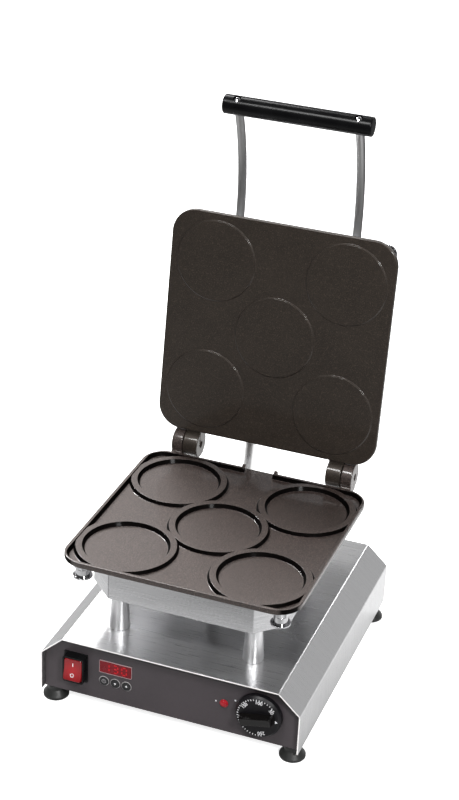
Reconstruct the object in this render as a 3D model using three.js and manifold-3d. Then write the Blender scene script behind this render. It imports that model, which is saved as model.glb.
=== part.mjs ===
// Countertop pancake maker: a folded steel base with its controls, four tapered pillars,
// a heated plate with five round moulds, and a hinged lid that carries the matching plate.
// Millimetres, +X to the right, +Y to the back, +Z up. While it is built the front edge of
// the housing lies at y = 0 and the feet stand on z = 0; the last lines centre the machine.

import * as THREE from 'three';
import { mergeVertices } from 'three/addons/utils/BufferGeometryUtils.js';
import Module from 'manifold-3d';

const wasm = await Module();
wasm.setup();

// Clearances, cuts and sheet
const seatGap = 0.3;
const overrun = 4;
const sheet = 1.5;
const weldDistance = 0.0001;

// Facets of round forms
const smallSides = 8;
const boreSides = 12;
const roundSides = 16;
const dialSides = 32;
const gripSides = 20;
const mouldSides = 36;
const elementSteps = 38;
const elementDivisions = 3;
const rodSteps = 12;
const rodDivisions = 5;
const leadSteps = 14;
const leadDivisions = 4;
const cornerDivisions = 2;
const plateDivisions = 3;
const lugDivisions = 9;

// Base housing
const footHeight = 16;
const housingWidth = 300;
const shoulderWidth = 25;
const housingTopWidth = housingWidth - 2 * shoulderWidth;
const rearShelf = 49;
const housingWallHeight = 49;
const housingHeight = 72;
const hemWidth = 26;
const panelRecess = 8;
const panelThickness = 2;
const rearRecess = 3;
const ventCount = 9;
const ventWidth = 4;
const ventHeight = 26;
const ventPitch = 12;
const ventRise = 42;

// Feet
const footRadius = 14.5;
const footNeckRadius = 9.5;
const footEdge = 1.5;
const footRimHeight = 4;
const footNeckHeight = 11;
const footStudRadius = 3;
const footStudLength = 12;
const footInsetX = 11;
const footInsetY = 17;

// Pillars between the base and the lower casing
const pillarHeight = 46;
const pillarTopRadius = 8.5;
const pillarBottomRadius = 11.5;
const pillarFootHeight = 3;
const pillarInsetX = 35;
const pillarInsetY = 22;
const boltRadius = 2.5;
const boltHeadRadius = 4.5;
const boltHeadHeight = 3;
const sleeveRadius = 9;
const sleeveWall = 1.5;

// Cooking plates
const plateSize = 270;
const plateSetback = 6;
const plateThickness = 10;
const plateFlange = 6.2;
const plateCoreInset = 7;
const plateCorner = 28;
const plateRearY = plateSetback + plateSize;
const housingDepth = plateRearY + rearShelf;
const edgeRound = 1.2;
const rimWidth = 3.8;
const rimSlope = 1.5;
const gutterDepth = 5;
const landDrop = 1;
const landMargin = 2.5;
const landOverlap = 0.2;
const landWidth = 7;
const landSlope = 1;
const mouldSlope = 3.5;
const mouldDepth = 5.6;
const spoutWidth = 35;
const spoutReach = 6;
const spoutFloor = 3.2;
const cheekWidth = 4;
const cheekRise = 2;
const cheekTip = 3;
const lidPlateInset = 2;
const discClearance = 0.6;
const discHeight = 1.5;
const discSlope = 1;

// Hinge
const hingeRise = 8.3;
const hingeBehind = 15.5;
const lugRadius = 16;
const lugInset = 56;
const innerLugWidth = 18;
const outerLugWidth = 13;
const lugGap = 0.6;
const lugWeb = 11;
const lugRoot = 8;
const pinRadius = 4;
const pinSetback = 1.5;
const openAngle = THREE.MathUtils.degToRad(97.3);

// Carriers, casings and heaters behind the plates
const carrierInset = 11;
const carrierCorner = 16;
const carrierThickness = 3;
const carrierBorder = 38;
const windowCorner = 12;
const casingInset = 22;
const casingChamfer = 30;
const casingFlange = 8;
const lowerCasingHeight = 37.5;
const upperCasingHeight = 46;
const elementRadius = 4;
const elementInset = 14;
const elementBend = 18;
const terminalSpacing = 28;
const terminalLength = 19;
const terminalInset = 12;
const trayOverlap = 7;
const trayCorner = 16;
const traySheet = 1;
const matInset = 48;
const matCorner = 8;
const matThickness = 12;
const wireHoleRadius = 7;

// Fluted thumb-screws
const screwInset = 22;
const studRadius = 2.5;
const studLength = 6;
const studHoleSpare = 1;
const collarRadius = 6;
const collarHeight = 4.5;
const knobRadius = 9.6;
const knobFluteDepth = 1.1;
const knobFlutes = 10;
const knobHeight = 9;
const knobFlangeRadius = 11;
const knobFlangeHeight = 2.6;
const knobFlangeEdge = 0.9;

// Handle
const rodRadius = 5;
const rodInset = 43;
const rodInside = 12;
const rodStraight = 4.5;
const rodHeight = 49.5;
const rodNutFlats = 17;
const rodNutThickness = 5;
const handleBeyond = 143;
const handleHeight = 8;
const gripRadius = 11;
const gripOverhang = 16;
const gripEdge = 1.6;
const gripSeat = 3;
const screwHeadRadius = 4.2;
const screwHeadHeight = 2.6;
const screwShankRadius = 2;
const screwCounterbore = 3.2;

// Metal-sheathed lead to the lid
const leadRadius = 6.2;
const leadX = -26;
const leadInset = 22;
const leadEase = 48;
const glandRadius = 10;
const glandHexRadius = 12.5;
const glandHexHeight = 5;
const glandHeight = 11;
const leadHeightOnCasing = 24;

// Rocker switch
const switchInset = 39.5;
const switchZ = 52;
const rockerWidth = 20.6;
const rockerRadius = 14.2;
const rockerFrontAngle = THREE.MathUtils.degToRad(28);
const rockerBackAngle = THREE.MathUtils.degToRad(20);
const rockerDish = 1.6;
const rockerDepth = 8;
const rockerPivot = 5.5;
const rockerTilt = THREE.MathUtils.degToRad(10);
const trunnionRadius = 1.5;
const trunnionLength = 1;
const frameWall = 1.8;
const frameProud = 10;
const frameFlange = 1.4;
const frameFlangeThickness = 1.6;
const framePocket = 12;
const frameBodyDepth = 20;

// Display, timer buttons and timer module
const displayInset = 85.7;
const displayZ = 59.8;
const displayWidth = 38.4;
const displayHeight = 16;
const displayProud = 0.5;
const displayBackWidth = 43;
const displayBackHeight = 19;
const displayBack = 2.1;
const buttonZ = 41.4;
const buttonPitch = 13.2;
const buttonRadius = 5.2;
const buttonProud = 1.4;
const buttonFlangeRadius = 6.2;
const buttonFlange = 1;
const buttonEdge = 0.5;
const buttonTravel = 1;
const moduleWidth = 50;
const moduleHeight = 42;
const moduleDepth = 34;
const moduleCorner = 3;

// Pilot lamp
const lampInset = 88;
const lampZ = 52.5;
const lampRadius = 4.8;
const lampProud = 3.4;
const lampNeckRadius = 3.6;
const lampBodyLength = 14;

// Thermostat
const dialInset = 46.8;
const dialZ = 52;
const dialRadius = 26;
const dialFaceRadius = 23.5;
const dialThickness = 9;
const dialStandoff = 1;
const dialTurn = THREE.MathUtils.degToRad(12);
const gripBarLength = 40;
const gripBarWidth = 10.5;
const gripBarTopWidth = 8;
const gripBarHeight = 10;
const gripBarSlant = 3;
const shaftRadius = 3;
const shaftInDial = 12;
const shaftInBody = 9;
const thermostatWidth = 36;
const thermostatHeight = 40;
const thermostatDepth = 16;
const canRadius = 13;
const canDepth = 12;

// Terminal block and mains gland
const terminalWidth = 60;
const terminalDepth = 24;
const terminalHeight = 20;
const terminalWays = 5;
const terminalBeforeRear = 60;
const terminalBlockInset = 80;
const terminalScrewRadius = 2.6;
const terminalScrewDepth = 7;
const mainsInset = 54;
const mainsZ = 44;
const mainsRadius = 9;
const mainsBore = 4.5;
const mainsHexRadius = 12.5;
const mainsHexDepth = 6;
const mainsDomeDepth = 10;
const mainsInside = 8;

// Levels and centres that follow from the sizes above
const housingBottom = footHeight;
const housingTop = housingBottom + housingHeight;
const hemTop = housingBottom + sheet;
const plateCentreY = plateSetback + plateSize / 2;
const panelBack = panelRecess + panelThickness;
const rearPanelY = housingDepth - rearRecess;
const headStart = carrierThickness + 2 * seatGap;
const lowerCasingBottom = housingTop + pillarHeight + 2 * seatGap;
const plateBottom = lowerCasingBottom + lowerCasingHeight + headStart;
const partingZ = plateBottom + plateThickness;
const hingeY = plateRearY + hingeBehind;
const hingeZ = partingZ + hingeRise;
const lidFaceZ = seatGap - hingeRise;
const lidCentreY = plateCentreY - hingeY;
const casingSize = plateSize - 2 * casingInset;
const casingHalf = casingSize / 2;
const pillarSpacingX = casingSize - 2 * pillarInsetX;
const pillarSpacingY = casingSize - 2 * pillarInsetY;
const switchX = switchInset - housingWidth / 2;
const displayX = displayInset - housingWidth / 2;
const lampX = housingWidth / 2 - lampInset;
const dialX = housingWidth / 2 - dialInset;
const terminalX = housingWidth / 2 - terminalBlockInset;
const terminalY = rearPanelY - terminalBeforeRear;
const mainsX = mainsInset - housingWidth / 2;

// The four outer moulds reach the rim of the plate and touch the middle one
const mouldPitch = (plateSize / 2 - landMargin - landOverlap) / (1 + Math.SQRT1_2) * 2;
const landRadius = mouldPitch * Math.SQRT1_2 / 2 + landOverlap;
const mouldRadius = landRadius - landWidth;
const mouldFloorRadius = mouldRadius - mouldSlope;
const discRadius = mouldRadius - discClearance;
const lidPlateSize = plateSize - 2 * lidPlateInset;
const lugInnerX = plateSize / 2 - lugInset;
const carrierSize = plateSize - 2 * carrierInset;
const carrierWindow = carrierSize - 2 * carrierBorder;
const elementSpan = carrierWindow - 2 * elementInset;
const matSize = casingSize - 2 * matInset;
const rodSpacing = casingSize - 2 * rodInset;
const handleReach = hingeBehind + plateSize / 2 + casingHalf + handleBeyond;
const gripLength = rodSpacing + 2 * gripOverhang;

// Finishes
const brushedSteel = new THREE.MeshStandardMaterial({ color: 0xb9babb, roughness: 0.35, metalness: 1 });
const satinSteel = new THREE.MeshStandardMaterial({ color: 0xa6a7a9, roughness: 0.45, metalness: 1 });
const chrome = new THREE.MeshStandardMaterial({ color: 0xd2d4d6, roughness: 0.12, metalness: 1 });
const aluminium = new THREE.MeshStandardMaterial({ color: 0xc4c5c6, roughness: 0.4, metalness: 1 });
const lowerCoating = new THREE.MeshStandardMaterial({ color: 0x4a4442, roughness: 0.5, metalness: 0.2 });
const lidCoating = new THREE.MeshStandardMaterial({ color: 0x2b2624, roughness: 0.55, metalness: 0.2 });
const panelPaint = new THREE.MeshStandardMaterial({ color: 0x3c3838, roughness: 0.55, metalness: 0.1 });
const blackPlastic = new THREE.MeshStandardMaterial({ color: 0x131314, roughness: 0.3, metalness: 0 });
const redPlastic = new THREE.MeshStandardMaterial({ color: 0xd0202a, roughness: 0.25, metalness: 0 });
const darkRubber = new THREE.MeshStandardMaterial({ color: 0x1b1c1b, roughness: 0.7, metalness: 0 });
const mineralMat = new THREE.MeshStandardMaterial({ color: 0xd8d2bf, roughness: 0.95, metalness: 0 });
const palePlastic = new THREE.MeshStandardMaterial({ color: 0xdedbd2, roughness: 0.6, metalness: 0 });

// Turning three.js geometry into solids that can be joined and cut, and back again
function solidOf(geometry) {
  geometry.deleteAttribute('normal');
  geometry.deleteAttribute('uv');
  const merged = mergeVertices(geometry, weldDistance);
  const corners = merged.index.array;
  const triangles = [];
  for (let i = 0; i < corners.length; i += 3) {
    const [a, b, c] = [corners[i], corners[i + 1], corners[i + 2]];
    if (a !== b && b !== c && c !== a) triangles.push(a, b, c);
  }
  return new wasm.Manifold(new wasm.Mesh({
    numProp: 3,
    vertProperties: new Float32Array(merged.attributes.position.array),
    triVerts: new Uint32Array(triangles),
  }));
}

function join(...solids) {
  return solids.reduce((whole, solid) => whole.add(solid));
}

function cut(solid, ...tools) {
  return tools.reduce((rest, tool) => rest.subtract(tool), solid);
}

function geometryOf(solid) {
  const mesh = solid.getMesh();
  const geometry = new THREE.BufferGeometry();
  geometry.setAttribute('position', new THREE.BufferAttribute(new Float32Array(mesh.vertProperties), 3));
  geometry.setIndex(new THREE.BufferAttribute(new Uint32Array(mesh.triVerts), 1));
  geometry.computeVertexNormals();
  return geometry;
}

function addPiece(parent, name, solid, material) {
  const mesh = new THREE.Mesh(geometryOf(solid), material);
  mesh.name = name;
  parent.add(mesh);
  return mesh;
}

// Outlines
function polygon(points) {
  return new THREE.Shape(points.map(([a, b]) => new THREE.Vector2(a, b)));
}

function roundedSquare(half, corner, halfHeight = half) {
  const shape = new THREE.Shape();
  shape.absarc(half - corner, -halfHeight + corner, corner, -Math.PI / 2, 0);
  shape.absarc(half - corner, halfHeight - corner, corner, 0, Math.PI / 2);
  shape.absarc(-half + corner, halfHeight - corner, corner, Math.PI / 2, Math.PI);
  shape.absarc(-half + corner, -halfHeight + corner, corner, Math.PI, 3 * Math.PI / 2);
  return shape;
}

function circle(radius, a = 0, b = 0) {
  return new THREE.Shape().absarc(a, b, radius, 0, 2 * Math.PI);
}

// A closed outline of straight sides, moved inwards by the same distance on every side
function insetPoints(points, distance) {
  const edges = points.map((a, i) => {
    const b = points[(i + 1) % points.length];
    const length = Math.hypot(b[0] - a[0], b[1] - a[1]);
    const along = [(b[0] - a[0]) / length, (b[1] - a[1]) / length];
    return { along, point: [a[0] - along[1] * distance, a[1] + along[0] * distance] };
  });
  return edges.map((edge, i) => {
    const before = edges[(i + edges.length - 1) % edges.length];
    const turn = before.along[0] * edge.along[1] - before.along[1] * edge.along[0];
    const offset = [edge.point[0] - before.point[0], edge.point[1] - before.point[1]];
    const step = (offset[0] * edge.along[1] - offset[1] * edge.along[0]) / turn;
    return [before.point[0] + before.along[0] * step, before.point[1] + before.along[1] * step];
  });
}

// Solids along the three axes
function prismZ(shape, low, high, divisions = cornerDivisions) {
  const options = { depth: high - low, bevelEnabled: false, curveSegments: divisions };
  return solidOf(new THREE.ExtrudeGeometry(shape, options).translate(0, 0, low));
}

function prismY(shape, front, back, divisions = cornerDivisions) {
  const options = { depth: back - front, bevelEnabled: false, curveSegments: divisions };
  return solidOf(new THREE.ExtrudeGeometry(shape, options).rotateX(Math.PI / 2).translate(0, back, 0));
}

function prismX(shape, left, right, divisions = lugDivisions) {
  const options = { depth: right - left, bevelEnabled: false, curveSegments: divisions };
  const axes = new THREE.Matrix4().makeBasis(
    new THREE.Vector3(0, 1, 0), new THREE.Vector3(0, 0, 1), new THREE.Vector3(1, 0, 0));
  return solidOf(new THREE.ExtrudeGeometry(shape, options).applyMatrix4(axes).translate(left, 0, 0));
}

function block(left, right, front, back, low, high) {
  const box = new THREE.BoxGeometry(right - left, back - front, high - low);
  return solidOf(box.translate((left + right) / 2, (front + back) / 2, (low + high) / 2));
}

function column(x, y, low, high, radius, sides = boreSides) {
  const cylinder = new THREE.CylinderGeometry(radius, radius, high - low, sides);
  return solidOf(cylinder.rotateX(Math.PI / 2).translate(x, y, (low + high) / 2));
}

function bar(x, z, front, back, radius, sides = boreSides) {
  const cylinder = new THREE.CylinderGeometry(radius, radius, back - front, sides);
  return solidOf(cylinder.translate(x, (front + back) / 2, z));
}

// Round forms: the profile lists radius and height from the bottom of the axis to its top
function turned(profile, sides = roundSides) {
  const points = profile.map(([radius, height]) => new THREE.Vector2(radius, height));
  return new THREE.LatheGeometry(points, sides);
}

function turnedZ(profile, x = 0, y = 0, sides = roundSides) {
  return solidOf(turned(profile, sides).rotateX(Math.PI / 2).translate(x, y, 0));
}

// A turned form on the front panel: heights count outwards from the face of the panel
function turnedOut(profile, x, z, sides = roundSides) {
  return solidOf(turned(profile, sides).rotateX(Math.PI).translate(x, panelRecess, z));
}

// A rounded square slab whose two edges are rounded off
function softSlab(half, corner, low, high, round) {
  const options = {
    depth: high - low - 2 * round,
    bevelThickness: round,
    bevelSize: round,
    bevelOffset: -round,
    bevelSegments: 2,
    curveSegments: plateDivisions,
  };
  return solidOf(new THREE.ExtrudeGeometry(roundedSquare(half, corner), options).translate(0, 0, low + round));
}

// The space of a shallow tub with sloping sides, open at the top
function tubSpace(half, corner, floor, depth, slope) {
  const options = {
    depth: overrun,
    bevelThickness: depth,
    bevelSize: slope,
    bevelSegments: 1,
    curveSegments: plateDivisions,
  };
  const shape = roundedSquare(half - slope, corner - slope);
  return solidOf(new THREE.ExtrudeGeometry(shape, options).translate(0, 0, floor + depth));
}

function tube(path, radius, steps, divisions) {
  const options = { steps, extrudePath: path, bevelEnabled: false, curveSegments: divisions };
  return solidOf(new THREE.ExtrudeGeometry(circle(radius), options));
}

// Straight runs joined by round corners
function roundedPath(points, bend) {
  const path = new THREE.CurvePath();
  let from = points[0];
  for (let i = 1; i < points.length - 1; i += 1) {
    const corner = points[i];
    const arrive = corner.clone().sub(points[i - 1]).setLength(bend);
    const leave = points[i + 1].clone().sub(corner).setLength(bend);
    const start = corner.clone().sub(arrive);
    const end = corner.clone().add(leave);
    path.add(new THREE.LineCurve3(from, start));
    path.add(new THREE.QuadraticBezierCurve3(start, corner, end));
    from = end;
  }
  path.add(new THREE.LineCurve3(from, points[points.length - 1]));
  return path;
}

const cornerSigns = {
  front_left: [-1, -1],
  front_right: [1, -1],
  rear_left: [-1, 1],
  rear_right: [1, 1],
};

// Housing: one sheet folded over the top, down both shoulders and walls, and in under the base
const housingOutline = [
  [-housingWidth / 2, housingBottom],
  [housingWidth / 2, housingBottom],
  [housingWidth / 2, housingBottom + housingWallHeight],
  [housingTopWidth / 2, housingTop],
  [-housingTopWidth / 2, housingTop],
  [-housingWidth / 2, housingBottom + housingWallHeight],
];

const pillarPlaces = Object.entries(cornerSigns).map(([corner, [sideX, sideY]]) => ({
  corner,
  x: sideX * pillarSpacingX / 2,
  y: plateCentreY + sideY * pillarSpacingY / 2,
}));

const footPlaces = Object.entries(cornerSigns).map(([corner, [sideX, sideY]]) => ({
  corner,
  x: sideX * (housingWidth / 2 - footInsetX),
  y: sideY < 0 ? footInsetY : housingDepth - footInsetY,
}));

const leadY = housingDepth - leadInset;
const boltHole = boltRadius + seatGap;
const studHole = footStudRadius + seatGap;

function housingShell() {
  const inner = polygon(insetPoints(housingOutline, sheet));
  const hemSide = housingWidth / 2 - hemWidth;
  const noHem = panelBack + seatGap;
  const shell = cut(
    prismY(polygon(housingOutline), 0, housingDepth),
    prismY(inner, -overrun, housingDepth + overrun),
    block(-hemSide, hemSide, -overrun, housingDepth + overrun, housingBottom - overrun, hemTop + overrun),
    block(sheet - housingWidth / 2, housingWidth / 2 - sheet, -overrun, noHem,
      housingBottom - overrun, hemTop + overrun),
    block(sheet - housingWidth / 2, housingWidth / 2 - sheet, rearPanelY - sheet - seatGap,
      housingDepth + overrun, housingBottom - overrun, hemTop + overrun),
  );
  const bolts = pillarPlaces.map(({ x, y }) =>
    column(x, y, housingTop - sheet - overrun, housingTop + overrun, boltHole));
  const studs = footPlaces.map(({ x, y }) =>
    column(x, y, housingBottom - overrun, hemTop + overrun, studHole));
  return cut(shell, ...bolts, ...studs,
    column(0, plateCentreY, housingTop - sheet - overrun, housingTop + overrun, wireHoleRadius),
    column(leadX, leadY, housingTop - sheet - overrun, housingTop + overrun, leadRadius));
}

// Both end panels fill the cross-section of the housing down to its lower edge
function endPanelOutline() {
  const inset = insetPoints(housingOutline, sheet + seatGap);
  return polygon(inset.map(([x, z]) => [x, z < housingBottom + housingWallHeight / 2 ? housingBottom : z]));
}

function basePlate() {
  const side = housingWidth / 2 - sheet - seatGap;
  const low = hemTop + seatGap;
  const plate = block(-side, side, panelBack + seatGap, rearPanelY - sheet - seatGap, low, low + sheet);
  const studs = footPlaces.map(({ x, y }) => column(x, y, low - overrun, low + sheet + overrun, studHole));
  const slots = Array.from({ length: ventCount }, (_, i) => {
    const x = (i - (ventCount - 1) / 2) * ventPitch;
    return block(x - ventWidth / 2, x + ventWidth / 2, plateCentreY - ventHeight, plateCentreY + ventHeight,
      low - overrun, low + sheet + overrun);
  });
  return cut(plate, ...studs, ...slots);
}

function rearPanel() {
  const panel = prismY(endPanelOutline(), rearPanelY - sheet, rearPanelY);
  const slots = Array.from({ length: ventCount }, (_, i) => {
    const x = (i - (ventCount - 1) / 2) * ventPitch;
    return block(x - ventWidth / 2, x + ventWidth / 2, rearPanelY - sheet - overrun, rearPanelY + overrun,
      ventRise, ventRise + ventHeight);
  });
  return cut(panel, ...slots,
    bar(mainsX, mainsZ, rearPanelY - sheet - overrun, rearPanelY + overrun, mainsRadius + seatGap, roundSides));
}

function foot(x, y) {
  const top = footHeight - seatGap;
  return turnedZ([
    [0, 0],
    [footRadius - footEdge, 0],
    [footRadius, footEdge],
    [footRadius, footRimHeight],
    [footNeckRadius, footNeckHeight],
    [footNeckRadius, top],
    [footStudRadius, top],
    [footStudRadius, top + footStudLength],
    [0, top + footStudLength],
  ], x, y);
}

// Rocker switch: a proud frame with a body behind the panel, and the rocker on its trunnions
const openingHalfWidth = rockerWidth / 2 + seatGap;
const openingHalfHeight = rockerRadius + seatGap;
const frameHalfWidth = openingHalfWidth + frameWall;
const frameHalfHeight = openingHalfHeight + frameWall;

function atSwitch(half, halfHeight, front, back) {
  return block(switchX - half, switchX + half, panelRecess - front, panelRecess - back,
    switchZ - halfHeight, switchZ + halfHeight);
}

function switchFrame() {
  const trunnionHole = prismX(
    circle(trunnionRadius + seatGap, panelRecess - rockerPivot, switchZ),
    switchX - openingHalfWidth - frameWall - overrun,
    switchX + openingHalfWidth + frameWall + overrun,
    smallSides / 2,
  );
  const flangeHalfWidth = frameHalfWidth + frameFlange;
  const flangeHalfHeight = frameHalfHeight + frameFlange;
  return cut(
    join(
      atSwitch(frameHalfWidth, frameHalfHeight, frameProud, -frameBodyDepth),
      atSwitch(flangeHalfWidth, flangeHalfHeight, seatGap + frameFlangeThickness, seatGap),
    ),
    atSwitch(openingHalfWidth, openingHalfHeight, frameProud + overrun, -framePocket),
    trunnionHole,
  );
}

// The rocker stands round its own trunnions, so that its mesh can be tilted there
function powerRocker() {
  const arc = (from, to, steps) => Array.from({ length: steps + 1 }, (_, i) => {
    const angle = from + (to - from) * i / steps;
    return [-rockerRadius * Math.sin(angle), rockerRadius * Math.cos(angle)];
  });
  const upperEnd = arc(rockerFrontAngle, -rockerBackAngle, 3);
  const lowerEnd = upperEnd.map(([y, z]) => [y, -z]).reverse();
  const middleOut = -rockerRadius * Math.sin(rockerFrontAngle) + rockerDish;
  const backHalf = rockerRadius * Math.cos(rockerBackAngle) / 2;
  const profile = polygon([
    ...upperEnd,
    [rockerDepth, backHalf],
    [rockerDepth, -backHalf],
    ...lowerEnd,
    [middleOut, 0],
  ]);
  const reach = rockerWidth / 2 + trunnionLength;
  return join(
    prismX(profile, -rockerWidth / 2, rockerWidth / 2),
    prismX(circle(trunnionRadius), -reach, reach, smallSides / 2),
  );
}

// Display and buttons stand in front of the timer module
const moduleFront = panelBack + seatGap + displayBack + seatGap;
const buttonBack = panelBack + seatGap + buttonFlange;
const buttonNames = ['mode', 'down', 'up'];
const buttonX = (i) => displayX + (i - (buttonNames.length - 1) / 2) * buttonPitch;

function displayWindow() {
  const piece = (width, height, front, back) => block(displayX - width / 2, displayX + width / 2,
    front, back, displayZ - height / 2, displayZ + height / 2);
  return join(
    piece(displayWidth, displayHeight, panelRecess - displayProud, panelBack + seatGap + displayBack),
    piece(displayBackWidth, displayBackHeight, panelBack + seatGap, panelBack + seatGap + displayBack),
  );
}

function timerButton(x) {
  const depth = panelThickness + seatGap;
  return turnedOut([
    [0, -depth - buttonFlange],
    [buttonFlangeRadius, -depth - buttonFlange],
    [buttonFlangeRadius, -depth],
    [buttonRadius, -depth],
    [buttonRadius, buttonProud - buttonEdge],
    [buttonRadius - buttonEdge, buttonProud],
    [0, buttonProud],
  ], x, buttonZ);
}

function controlModule() {
  const middle = (displayZ + buttonZ) / 2;
  const shape = roundedSquare(moduleWidth / 2, moduleCorner, moduleHeight / 2);
  const front = Math.max(moduleFront, buttonBack + buttonTravel + seatGap);
  const solid = new THREE.ExtrudeGeometry(shape, {
    depth: moduleDepth, bevelEnabled: false, curveSegments: 2,
  });
  return solidOf(solid.rotateX(Math.PI / 2).translate(displayX, front + moduleDepth, middle));
}

function pilotLamp() {
  const depth = panelThickness + lampBodyLength;
  return turnedOut([
    [0, -depth],
    [lampNeckRadius, -depth],
    [lampNeckRadius, seatGap],
    [lampRadius, seatGap],
    [lampRadius, lampProud / 2],
    [lampRadius * Math.cos(Math.PI / 4), lampProud / 2 * (1 + Math.sin(Math.PI / 4))],
    [0, lampProud],
  ], lampX, lampZ);
}

// Thermostat: body behind the panel, shaft through it, and the dial pushed on the shaft
function thermostatBody() {
  const front = panelBack + seatGap;
  const back = front + thermostatDepth;
  return cut(
    join(
      block(dialX - thermostatWidth / 2, dialX + thermostatWidth / 2, front, back,
        dialZ - thermostatHeight / 2, dialZ + thermostatHeight / 2),
      bar(dialX, dialZ, back - seatGap, back + canDepth, canRadius, roundSides),
    ),
    bar(dialX, dialZ, front - overrun, panelBack + shaftInBody + 2 * seatGap, shaftRadius + seatGap),
  );
}

function thermostatShaft() {
  return bar(dialX, dialZ, panelRecess - dialStandoff - shaftInDial, panelBack + shaftInBody + seatGap,
    shaftRadius);
}

// The dial stands round its own axis, so that its mesh can be turned there
function thermostatDial() {
  const disc = solidOf(turned([
    [0, 0],
    [dialRadius, 0],
    [dialRadius, dialThickness * 2 / 3],
    [dialFaceRadius, dialThickness],
    [0, dialThickness],
  ], dialSides).rotateX(Math.PI));
  const gripEnd = polygon([
    [-dialThickness + seatGap, -gripBarWidth / 2],
    [-dialThickness + seatGap, gripBarWidth / 2],
    [-dialThickness - gripBarHeight, gripBarTopWidth / 2],
    [-dialThickness - gripBarHeight, -gripBarTopWidth / 2],
  ]);
  const grip = prismX(gripEnd, -gripBarLength / 2, gripBarLength / 2);
  const slant = (side) => polygon([
    [side * (gripBarLength / 2 - gripBarSlant), -dialThickness - gripBarHeight],
    [side * (gripBarLength / 2), -dialThickness],
    [side * (gripBarLength / 2 + overrun), -dialThickness],
    [side * (gripBarLength / 2 + overrun), -dialThickness - gripBarHeight - overrun],
    [side * (gripBarLength / 2 - gripBarSlant), -dialThickness - gripBarHeight - overrun],
  ]);
  return cut(
    join(disc, cut(grip,
      prismZ(slant(1), -gripBarWidth, gripBarWidth),
      prismZ(slant(-1), -gripBarWidth, gripBarWidth))),
    bar(0, 0, -shaftInDial - seatGap, overrun, shaftRadius + seatGap),
  );
}

function frontPanel() {
  const front = panelRecess - overrun;
  const back = panelBack + overrun;
  const panel = prismY(endPanelOutline(), panelRecess, panelBack);
  const buttons = buttonNames.map((_, i) =>
    bar(buttonX(i), buttonZ, front, back, buttonRadius + seatGap, roundSides));
  const displayHalf = displayWidth / 2 + seatGap;
  const displayHalfHeight = displayHeight / 2 + seatGap;
  return cut(panel, ...buttons,
    atSwitch(frameHalfWidth + seatGap, frameHalfHeight + seatGap, overrun, -panelThickness - overrun),
    block(displayX - displayHalf, displayX + displayHalf, front, back,
      displayZ - displayHalfHeight, displayZ + displayHalfHeight),
    bar(lampX, lampZ, front, back, lampNeckRadius + seatGap, roundSides),
    bar(dialX, dialZ, front, back, shaftRadius + 2 * seatGap));
}

// Terminal block on the base plate, with a screw well over each way
function terminalBlock() {
  const low = hemTop + sheet + 2 * seatGap;
  const high = low + terminalHeight;
  const solid = block(terminalX - terminalWidth / 2, terminalX + terminalWidth / 2,
    terminalY - terminalDepth / 2, terminalY + terminalDepth / 2, low, high);
  const pitch = terminalWidth / terminalWays;
  const wells = Array.from({ length: terminalWays }, (_, i) => {
    const x = terminalX + (i - (terminalWays - 1) / 2) * pitch;
    return column(x, terminalY, high - terminalScrewDepth, high + overrun, terminalScrewRadius, smallSides);
  });
  return cut(solid, ...wells);
}

function mainsGland() {
  const hex = new THREE.CylinderGeometry(mainsHexRadius, mainsHexRadius, mainsHexDepth, 6);
  const hexFront = rearPanelY + seatGap;
  const dome = turned([
    [0, 0],
    [mainsRadius + seatGap, 0],
    [mainsRadius, mainsDomeDepth / 2],
    [mainsBore + sheet, mainsDomeDepth],
    [0, mainsDomeDepth],
  ], roundSides).translate(mainsX, hexFront + mainsHexDepth - seatGap, mainsZ);
  const inside = rearPanelY - sheet - mainsInside;
  return cut(
    join(
      solidOf(hex.translate(mainsX, hexFront + mainsHexDepth / 2, mainsZ)),
      solidOf(dome),
      bar(mainsX, mainsZ, inside, hexFront + seatGap, mainsRadius, roundSides),
    ),
    bar(mainsX, mainsZ, inside - overrun, hexFront + mainsHexDepth + mainsDomeDepth + overrun, mainsBore),
  );
}

// Pillars, their bolts, and the sleeve of the heater wires
function pillar(x, y) {
  const low = housingTop + seatGap;
  const high = low + pillarHeight;
  return cut(
    turnedZ([
      [0, low],
      [pillarBottomRadius, low],
      [pillarBottomRadius, low + pillarFootHeight],
      [pillarTopRadius, high],
      [0, high],
    ], x, y),
    column(x, y, low - overrun, high + overrun, boltHole),
  );
}

function pillarBolt(x, y) {
  const nutTop = housingTop - sheet - seatGap;
  const headLow = lowerCasingBottom + sheet + seatGap;
  return turnedZ([
    [0, nutTop - boltHeadHeight],
    [boltHeadRadius, nutTop - boltHeadHeight],
    [boltHeadRadius, nutTop],
    [boltRadius, nutTop],
    [boltRadius, headLow],
    [boltHeadRadius, headLow],
    [boltHeadRadius, headLow + boltHeadHeight],
    [0, headLow + boltHeadHeight],
  ], x, y, smallSides);
}

function wireSleeve() {
  const low = housingTop + seatGap;
  const high = lowerCasingBottom - seatGap;
  return cut(
    column(0, plateCentreY, low, high, sleeveRadius, roundSides),
    column(0, plateCentreY, low - overrun, high + overrun, sleeveRadius - sleeveWall, roundSides),
  );
}

// Cooking plates
const mouldPlaces = [[0, 0], ...Object.values(cornerSigns)].map(([sideX, sideY]) =>
  [sideX * mouldPitch / 2, sideY * mouldPitch / 2]);
const screwPlaces = Object.entries(cornerSigns).map(([corner, [sideX, sideY]]) => ({
  corner,
  x: sideX * (plateSize / 2 - screwInset),
  y: sideY * (plateSize / 2 - screwInset),
}));

// A slab with a thin flange all round and a thicker core behind it
function plateBlank(size, flangeLow, flangeHigh, coreLow, coreHigh) {
  const core = roundedSquare(size / 2 - plateCoreInset, plateCorner - plateCoreInset);
  return join(
    softSlab(size / 2, plateCorner, flangeLow, flangeHigh, edgeRound),
    prismZ(core, coreLow, coreHigh, plateDivisions),
  );
}

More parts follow.
